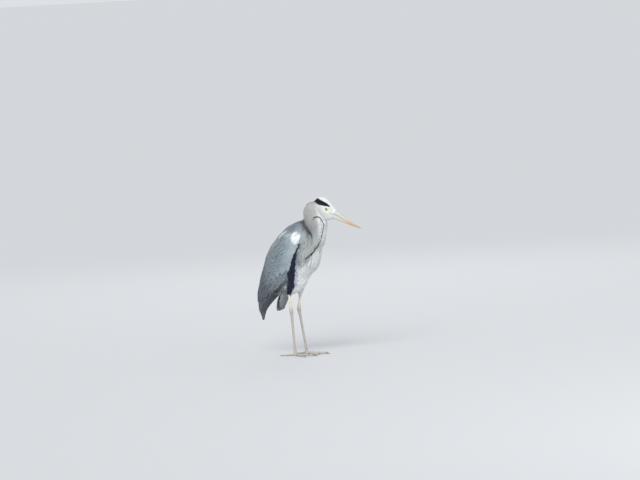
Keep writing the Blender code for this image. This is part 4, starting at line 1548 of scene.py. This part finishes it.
def rank(name, rows, tint=None, **how):
    """A coat from listed roots: (place, way, length, width, low, high, tip)."""
    spots = [skin_tree.find_nearest(Vector(place))[0] for place, *_ in rows]
    near = [skin_finder.find(spot)[1] for spot in spots]
    roots, tops = np.array(spots), smooth_facing[near]
    ways = []
    for n, (_, way, *_) in zip(tops, rows):
        way = np.array(way, float)
        way = way - n * n.dot(way)
        ways.append(way / np.linalg.norm(way))
    ways = np.array(ways)
    sizes = dict(zip(("length", "width", "low", "high", "tip"),
                     np.array([row[2:] for row in rows], float).T), mask=np.ones(len(rows)))
    mesh = plain_mesh(name, to_m(roots), [])
    store(mesh, "lie", ways)
    store(mesh, "facing", tops)
    store(mesh, BAKE_MAP, np.pad(skin_uv[loop_of[near]], ((0, 0), (0, 1))))
    store_sizes(mesh, sizes)
    if tint is None:
        tint = tint_ahead(roots, ways, sizes["length"])
    store(mesh, "tint", np.broadcast_to(tint, (len(rows), 3)))
    dress(name, mesh, False, **how)


def between(starts, ends, *sizes):
    """Feathers given by where they begin and end: place, way, length and the rest."""
    rows = []
    for k, (start, end) in enumerate(zip(starts, ends)):
        way = np.array(end) - np.array(start)
        rows.append((start, way, np.linalg.norm(way),
                     *[np.broadcast_to(v, len(starts))[k] for v in sizes]))
    return rows


def line(*corners, count):
    """Even steps along a bent line of places in mm."""
    corners = np.array(corners, float)
    run = np.concatenate(([0], np.cumsum(np.linalg.norm(np.diff(corners, axis=0), axis=1))))
    at = np.linspace(0, run[-1], count)
    return np.stack([np.interp(at, run, corners[:, k]) for k in range(3)], axis=1)


def on_side(rows, side):
    """Places and ways given for the left side, for either side."""
    flip = np.array((1, SIDES[side], 1))
    return [(np.array(p) * flip, np.array(w) * flip, *rest) for p, w, *rest in rows]


print("map read at", len(skin_uv), "corners")

# %% Flight feathers, greater coverts and tertials
FLIGHT = dict(finish="quill", shape="quill", thick=.35, turn=.5, slot="flight_feather")
TAIL_SIDE = (((-42, 28, 239), (-68, 28, 241), 8), ((-46, 27, 231), (-66, 27, 232), 7),
             ((-50, 26, 226), (-66, 26, 227), 6))
draw = np.random.default_rng(2024)
for side in SIDES:
    # secondaries, whose dark tips form the wing's lower edge
    rows = between(line((20, 58, 360), (-22, 64, 346), (-62, 56, 306), count=16),
                   line((-16, 58, 269), (-60, 60, 235), (-103, 40, 203), count=16),
                   15, 1.0, 3.2 + .5 * (1 - np.linspace(0, 1, 16)), .9)
    rank("secondaries_" + side, on_side(rows, side), camber=.8, seed=81, **FLIGHT)
    # greater coverts over their roots
    rows = between(line((28, 58, 372), (-14, 64, 372), (-72, 58, 342), count=18),
                   line((4, 60, 306), (-40, 62, 288), (-100, 54, 262), count=18),
                   12, 2.4, 4.5, .4)
    rank("greater_coverts_" + side, on_side(rows, side), thick=.2, camber=.3, turn=1, seed=82,
         **COVERT)
    # primaries, folded into a narrow blade beside the tail, and a few behind it
    rows = between(line((-84, 44, 272), (-112, 34, 268), (-134, 22, 258), count=12),
                   line((-112, 24, 196), (-136, 16, 168), (-152, 12, 150), count=12),
                   15 - 2 * np.linspace(0, 1, 12), .5, 2.2, .3)
    rows += between(line((-158, 2, 232), (-152, 17, 232), count=5),
                    line((-162, 1.5, 152), (-156, 13, 160), count=5), 9, .5, 1.8, .3)
    rank("primaries_" + side + "_vanes", on_side(rows, side), tint=COLOURS["slate"],
         camber=.5, seed=83, stands_for=("primaries_" + side,), **FLIGHT)
    # loose coverts over the side of the tail's root, tinted darker still as painted shade
    rows = [(root, (-.35, -.1, -1), 11, 6, 1.4, 2.6, .3)
            for start, end, count in TAIL_SIDE for root in line(start, end, count=count)]
    rank("tail_side_coverts_" + side, on_side(rows, side), tint=COLOURS["undertail"] * .8,
         finish="soft", shape="contour", thick=.12, camber=.15, loose=.9, turn=4, seed=86,
         slot="back_feather")
    # tertials, which close the gap between the wings behind
    rows = between(line((-104, 3, 322), (-118, 20, 300), count=6),
                   line((-147, 3, 236), (-153, 15, 226), count=6), 13, 1.0, 3.0, .4)
    rows += between(line((-128, 2, 284), (-126, 13, 280), count=4),
                    line((-158, 3, 213), (-154, 13, 208), count=4), 12, 1.0, 2.6, .4)
    rank("tertials_" + side, on_side(rows, side), loose=.8, camber=.6, seed=84,
         **dict(FLIGHT, finish="covert", slot="wing_feather"))
print("coat so far", sum(coats.values()))

# %% Scapular plumes
PLUME = dict(finish="plume", shape="plume")
# a bank's number of plumes, their length, and the line that their roots lie on
SCAPULAR_BANKS = (
    (13, 74, ((26, 44, 444), (0, 46, 446), (-40, 42, 424), (-72, 32, 398))),
    (12, 88, ((20, 32, 456), (-8, 34, 455), (-44, 30, 430), (-76, 22, 400))),
    (10, 82, ((12, 18, 466), (-14, 20, 460), (-48, 17, 430), (-80, 11, 400))))
for side in SIDES:
    rows = []
    for bank, (count, reach, corners) in enumerate(SCAPULAR_BANKS):
        for spot in line(*corners, count=count):
            rows.append((spot + draw.normal(0, 1.5, 3), (-.60 + draw.normal(0, .05), 0,
                         -.80 + draw.normal(0, .05)), reach * draw.uniform(.8, 1.15),
                         draw.uniform(5, 7.5), 2.4, 5 + .4 * bank, draw.uniform(.2, .8)))
    rank("scapular_plumes_" + side, on_side(rows, side), thick=.3, camber=.8, turn=2, seed=91,
         slot="back_feather", **PLUME)

# %% Plumes of the foreneck and the breast
LONG_PLUMES = dict(PLUME, thick=.28, camber=.6, turn=4, slot="neck_feather")


def front_plumes(banks, stray, fan, reach, width, high):
    """Rows of plumes across the front, each drawn a little off its place and size."""
    rows = []
    for count, long, corners in banks:
        for spot in line(*corners, count=count):
            rows.append((spot + draw.normal(0, stray, 3),
                         (-.2, spot[1] * .006 + draw.normal(0, fan), -1),
                         long * draw.uniform(*reach), draw.uniform(*width), 2.4,
                         draw.uniform(*high), draw.uniform(.2, 1)))
    return rows


rank("foreneck_plumes", front_plumes((
    (15, 66, ((112, -20, 404), (124, 0, 408), (112, 20, 404))),
    (19, 74, ((96, -30, 384), (112, 0, 384), (96, 30, 384))),
    (19, 70, ((84, -38, 362), (102, 0, 360), (84, 38, 362)))),
    1.8, .05, (.75, 1.15), (3, 5), (4.6, 5.8)), tint=COLOURS["white"], seed=95, **LONG_PLUMES)
rank("breast_plumes", front_plumes((
    (9, 52, ((96, -28, 378), (110, 0, 378), (96, 28, 378))),
    (10, 56, ((84, -35, 352), (100, 0, 350), (84, 35, 352)))),
    2.5, .06, (.7, 1.1), (2.4, 4), (4.2, 5.0)), tint=COLOURS["breast side"] * .8, seed=98,
    **LONG_PLUMES)

# %% The black line of the foreneck
FORENECK_LINE = ((97, 29, 488), (101, 28, 494), (108, 25, 498), (115, 21, 499), (122, 18, 496),
                 (129, 15.5, 486), (134, 13, 474), (134.5, 13.5, 460), (130, 14.5, 446),
                 (126, 15.5, 430), (121, 17.5, 414), (112, 21.5, 396), (101, 26, 379),
                 (90, 35, 365), (78, 43, 356))
LINE_STEPS, SOLID_STEPS = 76, 14     # how many steps it has, and how many are bold throughout
for side in SIDES:
    spots = line(*FORENECK_LINE, count=LINE_STEPS)
    rows = []
    for k, (spot, after) in enumerate(zip(spots, spots[1:])):
        way, loose = after - spot, ramp(42, 72, k)
        bold = 1 if k % 7 in (1, 2, 3, 4) or k < SOLID_STEPS else .6
        rows.append((spot + draw.normal(0, .5 + 1.6 * loose, 3), way,
                     draw.uniform(8, 12) * (1 + .6 * loose), draw.uniform(1.6, 2.3) * bold,
                     2.8 + 1.4 * loose, 3.6 + 1.3 * loose + draw.uniform(0, .3), 0))
        if k % 5 == 2 and SOLID_STEPS < k < 46:
            rows.append((spot + np.array((-5, 4.5, 0)), way, 8, 1.6, 2.8, 3.6, 0))
    rank("foreneck_line_" + side, on_side(rows, side), tint=COLOURS["black"], finish="neck",
         shape="down", thick=.1, camber=.1, turn=6, seed=96, slot="neck_feather")

# %% Crest
rows = []
for t in np.arange(18) / 17:
    rows.append(((107 - 9 * t + draw.normal(0, 1), draw.uniform(-8, 8), 556), (-1, 0, -.6),
                 18 + 18 * t, draw.uniform(2.2, 3.4), 2.0, draw.uniform(2.6, 3.6), 0))
rank("crest_plumes", rows, tint=COLOURS["black"], thick=.25, camber=.3, turn=5, seed=97,
     most=3, slot="crest_feather", stands_for=("crest",), **PLUME)
print("coat so far", sum(coats.values()))

# %% [markdown]
# ## Tail
#
# The closed tail is a stack of twelve stiff feathers, the middle pair on top. It
# has no flesh to lie on, so each feather is modelled outright: a long, closed
# blade laid along the tail's own vault, a little lower than its neighbour
# towards the edge.

# %% One blade, and a mesh of blades
BLADE_VAULT = .06       # how far a blade's edges hang, as a share of its half width


def blade(rows, across_steps):
    """A closed thin blade: each row is a middle, a half width way, a top and a thickness."""
    points, numbers = [], []
    for i, (middle, wide, top, thick) in enumerate(rows):
        for j in range(2 * across_steps):
            lid = 1 if j < across_steps else -1
            s = lid * ((j % across_steps) / across_steps * 2 - 1)
            rise = thick * (1 - s * s) * lid - BLADE_VAULT * np.linalg.norm(wide) * s * s
            points.append(middle + wide * s + top * rise)
            numbers.append((i / (len(rows) - 1), s))
    return points, tube_faces(len(rows), 2 * across_steps), numbers


def blades_mesh(name, made, tints):
    """One mesh of many blades, each with its own tint and luck."""
    points, faces, numbers, tint, luck = [], [], [], [], []
    for (p, f, n), shade in zip(made, tints):
        faces += [tuple(i + len(points) for i in face) for face in f]
        points += p
        numbers += n
        tint += [shade] * len(p)
        luck += [draw.uniform()] * len(p)
    mesh = plain_mesh(name, to_m(np.array(points)), faces)
    turned_out(mesh)
    along, across = np.array(numbers).T
    for key, values in (("along", along), ("across", across), ("luck", luck),
                        ("tip", np.full(len(points), .3)), ("tint", tint)):
        store(mesh, key, values)
    mesh.shade_smooth()
    return mesh


print("blades ready")

# %% Tail feathers
TAIL_PAIRS = 6
TAIL_STEPS, TAIL_ACROSS = 26, 8      # rows along a feather, and points across each side
TAIL_HALF = 8.6         # mm: half the width of a tail feather
TAIL_THICK = .28        # mm from a feather's middle to its face
VAULT_DEEP, VAULT_HALF = 6.5, 34     # mm that the tail's sides hang, and where
SHEATHING = .42         # mm that each pair lies below the last
# the tail's middle line from its root to its end (x, z) and half its width there
TAIL_LINE = ((-42, 259, 19), (-54, 239, 21), (-65, 219, 24), (-73, 200, 27),
             (-76.3, 180, 31), (-76.8, 159.6, 33.6))
line_x, line_z, line_half = np.array(TAIL_LINE).T
run = np.concatenate(([0], np.cumsum(np.hypot(np.diff(line_x), np.diff(line_z)))))


def tail_at(u):
    """The tail's middle, its upper side and half its width, u of the way down."""
    here, before, after = (
        np.array([np.interp(s, run, line_x), 0, np.interp(s, run, line_z)])
        for s in (u * run[-1], u * run[-1] - 8, u * run[-1] + 8))
    way = (after - before) / np.linalg.norm(after - before)
    return here, np.array((way[2], 0, -way[0])), float(np.interp(u * run[-1], run, line_half))


made, tints = [], []
for pair in range(TAIL_PAIRS - 1, -1, -1):
    t = (pair + .5) / TAIL_PAIRS
    for sign, tuck, lift in ((1, 0, .18), (-1, .006, 0)):
        rows = []
        for u in np.arange(TAIL_STEPS) / (TAIL_STEPS - 1):
            here, top, half_tail = tail_at(u * (1 - .05 * t ** 2 - tuck))
            lateral = sign * (half_tail - TAIL_HALF) * t * 1.09
            half = TAIL_HALF * min(1, .45 + 1.6 * u) * math.sqrt(
                max(1 - max(0, (u - .9) / .101) ** 2, .02))
            vault = -VAULT_DEEP * (lateral / VAULT_HALF) ** 2 + 1.4 - SHEATHING * pair + lift
            slope = math.atan(-2 * VAULT_DEEP * lateral / VAULT_HALF ** 2)
            wide = np.array((0, half * math.cos(slope), 0)) + top * half * math.sin(slope)
            rows.append((here + np.array((0, lateral, 0)) + top * vault, wide, top, TAIL_THICK))
        made.append(blade(rows, TAIL_ACROSS))
        # the tint darkens towards the middle pair: painted shade
        tints.append(mix(COLOURS["tail middle shade"], COLOURS["tail side"], t))
tail = link(bpy.data.objects.new("tail_feathers", blades_mesh("tail_feathers", made, tints)))
tail.data.materials.append(FINISH["quill"])
unwrap(tail)
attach(tail, "root")
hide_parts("tail")
print("tail", len(made), "feathers,", len(tail.data.polygons), "faces")

# %% [markdown]
# ## Bill
#
# The bill is a dagger of horn in two halves that shut on a straight line. The
# upper half carries the slit of the nostril and a groove that runs forward from
# it. The horn is laid as close rings through the solid's own sections, pinched
# a little towards the ridge, and the groove is pressed into it.

# %% The bill's form
BILL_STEPS, BILL_AROUND = 110, 30    # rings along a half, and points on each
SHUT_GAP = .2           # mm between each half and the line on which they shut
GROOVE_DEEP, SLIT_DEEP = .4, .8      # mm


def bill_sections(node):
    """Place along the bill, reach above or below its line, and half width."""
    bm = merged(node)
    p = to_mm([v.co for v in bm.verts])
    bm.free()
    along, above = head_axes(p)
    rows = []
    for at in np.unique(along.round(0)):
        ring = np.abs(along - at) < .7
        if ring.sum() >= 6:
            rows.append((along[ring].mean(), above[ring][np.abs(above[ring]).argmax()],
                         np.abs(p[ring, 1]).max()))
    return np.array(rows).T


def horn(node, sign):
    """One half of the bill; sign is 1 for the upper half, which has groove and nostril."""
    at, reach, width = bill_sections(node)
    along = at[0] + (at[-1] - at[0]) * np.linspace(0, 1, BILL_STEPS)
    reach, width = (evened(np.interp(along, at, v), 11, mode="reflect", reflect_type="odd")
                    for v in (reach, width))
    turn = np.linspace(0, math.pi, BILL_AROUND)
    points, slits = [], []
    for a, r, w in zip(along, reach, width):
        side = np.sign(np.cos(turn)) * np.abs(np.cos(turn)) ** (1.12 if sign > 0 else 1.0) * w
        rise = sign * SHUT_GAP + (r - sign * SHUT_GAP) * np.sin(turn) ** .92
        slit = np.zeros(BILL_AROUND)
        if sign > 0:
            off_line = rise - (2.6 + 1.9 * ramp(70, 5, a))
            groove = np.exp(-(off_line / .75) ** 2) * ramp(74, 40, a) * ramp(5, 9, a)
            slit = np.exp(-(off_line / .7) ** 2) * ramp(9, 12, a) * ramp(24, 20, a)
            side = side - np.sign(side) * (GROOVE_DEEP * groove + SLIT_DEEP * slit) * ramp(
                .4, 1.4, np.abs(side))
        slits.append(slit)
        points.append(head_place(a, side, rise))
    points = np.array(points).reshape(-1, 3)
    mesh = plain_mesh(node + "_horn", to_m(points), tube_faces(BILL_STEPS, BILL_AROUND))
    turned_out(mesh)
    along, above = head_axes(points)
    for key, values in (("out", along), ("above", above), ("slit", np.concatenate(slits))):
        store(mesh, key, values)
    mesh.shade_smooth()
    mesh.set_sharp_from_angle(angle=math.radians(52))
    return link(bpy.data.objects.new(node + "_horn", mesh))


bills = {"bill_upper": horn("bill_upper", 1), "bill_lower": horn("bill_lower", -1)}
print("bill", {n: len(o.data.polygons) for n, o in bills.items()})

# %% The bill's finish


def solid(*screen):
    """A colour for a shader's socket, from its values on a screen."""
    return (*srgb(*screen), 1)


def own_place(tree, stretch):
    """A piece's own coordinates, stretched."""
    own = make(tree, "ShaderNodeTexCoord", (), "Object")
    return make(tree, "ShaderNodeMapping", {"Vector": own, "Scale": stretch})


def noise(tree, scale, detail=3.0, stretch=(1, 1, 1), rough=.5):
    """Cloudy variation on a piece's own coordinates."""
    return make(tree, "ShaderNodeTexNoise", {
        "Vector": own_place(tree, stretch), "Scale": scale, "Detail": detail,
        "Roughness": rough}, "Fac")


def horn_material(name, root, middle, ripe, tip, edge):
    """Horn that changes from root to tip and along its cutting edge."""
    mat, tree, shader = shaded(name, .38, coat=.15)
    colour = solid(*root)
    for begins, full, next_colour in ((4, 40, middle), (44, 74, ripe), (92, 116, tip)):
        colour = mix_colour(laid_out(attribute(tree, "out"), begins, full), colour,
                            solid(*next_colour))
    at_edge = laid_out(abs(attribute(tree, "above")), .2, 3.6).below_one()
    colour = mix_colour(at_edge * .65, colour, solid(*edge))
    # the nostril's slit is painted dark: painted shade in the recess
    colour = mix_colour(laid_out(attribute(tree, "slit"), .35, .8), colour, solid(52, 50, 48))
    streaks = noise(tree, 260, 4, (.25, 1, 1))
    finish_surface(shader, scaled(colour, streaks * .5 + .74), streaks, .25, .0003)
    tree.links.new((noise(tree, 500) * .25 + .26).socket, shader.inputs["Roughness"])
    return mat


# half: its slot, and its colours at the root, middle, ripe part, tip and cutting edge
BILL_FINISH = {
    "bill_upper": ("bill_top", (172, 175, 176), (174, 171, 162), (176, 160, 134),
                   (128, 116, 84), (150, 138, 118)),
    "bill_lower": ("bill_low", (202, 202, 192), (200, 194, 178), (208, 146, 92),
                   (168, 146, 84), (200, 186, 156))}
for node, (slot, *colours) in BILL_FINISH.items():
    bills[node].data.materials.append(horn_material(node + " horn", *colours))
    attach(bills[node], "root")
    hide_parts(node)
print("bill finished")

# %% [markdown]
# ## Eyes
#
# The eyeball is a sphere with the clear swelling of the cornea on its front. Its
# poles lie on the line of sight, so the rings of the mesh are the rings of the
# iris: black pupil, clear yellow, and a thin dark rim. A clear coat gives the
# wet shine.

# %% Eyeballs
CORNEA = .45            # mm that the front swells
EYE_SINK = .35          # mm that the ball is smaller than the solid
EYE_RINGS, EYE_AROUND = 55, 48       # rings from pole to pole, and points on each


def eyeball(side):
    """An eye whose rings run round its line of sight."""
    look = EYE_LOOK * (1, SIDES[side], 1)
    look = look / np.linalg.norm(look)
    a = np.cross(look, (0, 0, 1.0))
    a /= np.linalg.norm(a)
    b = np.cross(look, a)
    ball = EYE_RADIUS - EYE_SINK
    tilts = np.linspace(0, 180, EYE_RINGS + 2)
    points = [EYE_MM[side] + look * (ball + CORNEA)]
    for tilt in tilts[1:-1]:
        r = ball + CORNEA * (1 - ramp(10, 46, tilt))
        for turn in math.tau * np.arange(EYE_AROUND) / EYE_AROUND:
            way = look * math.cos(math.radians(tilt)) + (
                a * math.cos(turn) + b * math.sin(turn)) * math.sin(math.radians(tilt))
            points.append(EYE_MM[side] + way * r)
    points.append(EYE_MM[side] - look * ball)
    ring = [[1 + i * EYE_AROUND + k % EYE_AROUND for k in range(EYE_AROUND + 1)]
            for i in range(EYE_RINGS)]
    last = len(points) - 1
    faces = [(0, s, t) for s, t in zip(ring[0], ring[0][1:])]
    for upper, lower in zip(ring, ring[1:]):
        faces += list(zip(upper, lower, lower[1:], upper[1:]))
    faces += [(s, last, t) for s, t in zip(ring[-1], ring[-1][1:])]
    mesh = plain_mesh("eyeball_" + side, to_m(np.array(points)), faces)
    turned_out(mesh)
    store(mesh, "off_sight", np.concatenate(([0], np.repeat(tilts[1:-1], EYE_AROUND), [180])))
    mesh.shade_smooth()
    return link(bpy.data.objects.new("eyeball_" + side, mesh))


def eye_material():
    """Pupil, iris and dark rim by the angle from the line of sight, under a wet coat."""
    mat, tree, shader = shaded("wet eye", .12, coat=1.0)
    shader.inputs["Coat Roughness"].default_value = .03
    off = noise(tree, 900, 2) * 2.4 + attribute(tree, "off_sight")
    flecks = noise(tree, 1500, 4, rough=.7)
    iris = mix_colour(flecks, solid(216, 208, 144), solid(240, 237, 198))
    iris = mix_colour(laid_out(off, 26, 41), iris, solid(216, 206, 138))
    ring = mix_colour(laid_out(off, 38.5, 41.5), iris, solid(40, 34, 20))
    whole = mix_colour(laid_out(off, 26.4, 27.6), solid(8, 8, 9), ring)
    finish_surface(shader, whole, flecks, .05, .0001)
    return mat


wet_eye = eye_material()
for side in SIDES:
    ball = eyeball(side)
    ball.data.materials.append(wet_eye)
    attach(ball, "root")
    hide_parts("eye_" + side)
print("eyes, radius", round(EYE_RADIUS, 2), "mm")

# %% [markdown]
# ## Claws
#
# Each claw is a short curved cone of dark horn, a little deeper than wide. The
# solid's own sections are rounded into one smooth cone by subdivision, which also
# rounds it over at its root, where it enters the toe.

# %% Claws
CLAW_ROUNDS = 3
claw_mat, tree, shader = shaded("claw horn", .35, coat=.2)
grain = noise(tree, 700, 4, (1, 1, .4))
finish_surface(shader, mix_colour(grain, solid(34, 31, 28), solid(92, 84, 72)), grain, .3,
               .0002)
for node in sorted(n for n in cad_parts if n.startswith("claw_")):
    claw = joined(node + "_horn", [swelled(node, 0)])
    turned_out(claw.data)
    smoother = claw.modifiers.new("round", "SUBSURF")
    smoother.levels = smoother.render_levels = CLAW_ROUNDS
    settle(claw)
    claw.data.shade_smooth()
    claw.data.materials.append(claw_mat)
    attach(claw, "root")
    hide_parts(node)
print("claws done")

# %% [markdown]
# ## The skin's own finish
#
# Under the coat the skin only fills the gaps with the feathers' colour. Where it
# is bare it is scaly: plates on the legs, fine grain on the face. The scales are
# cells of a Voronoi pattern, which is what scales are: growths that met.

# %% Skin finish
skin_mat, tree, shader = shaded("skin and scales", .6, gloss=.3)
bare_mask = attribute(tree, "bare")
cells = make(tree, "ShaderNodeTexVoronoi", {
    "Vector": own_place(tree, (1, 1, .7)), "Scale": 820.0}, "Distance",
    feature="DISTANCE_TO_EDGE")
plate = laid_out(cells, .02, .22)
colour = scaled(attribute(tree, "tint", "Color"), noise(tree, 90, 4) * .5 + .72)
colour = mix_colour(plate.below_one() * bare_mask * .3, colour, solid(74, 70, 62))
finish_surface(shader, colour, plate * bare_mask, .5, .0004)
skin_mesh.materials.clear()
skin_mesh.materials.append(skin_mat)
store(skin_mesh, "bare", np.where(is_body, bare * .1, 1.0))
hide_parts(*FLESH[:6], "thigh_left", "thigh_right", "shank_left", "shank_right",
            "tarsus_left", "tarsus_right", "foot_left", "foot_right")
for pattern_piece in patterns.values():
    bpy.data.objects.remove(pattern_piece)
print("skin finished")

# %% Size and finish
print("feathers", sum(coats.values()), "triangles")
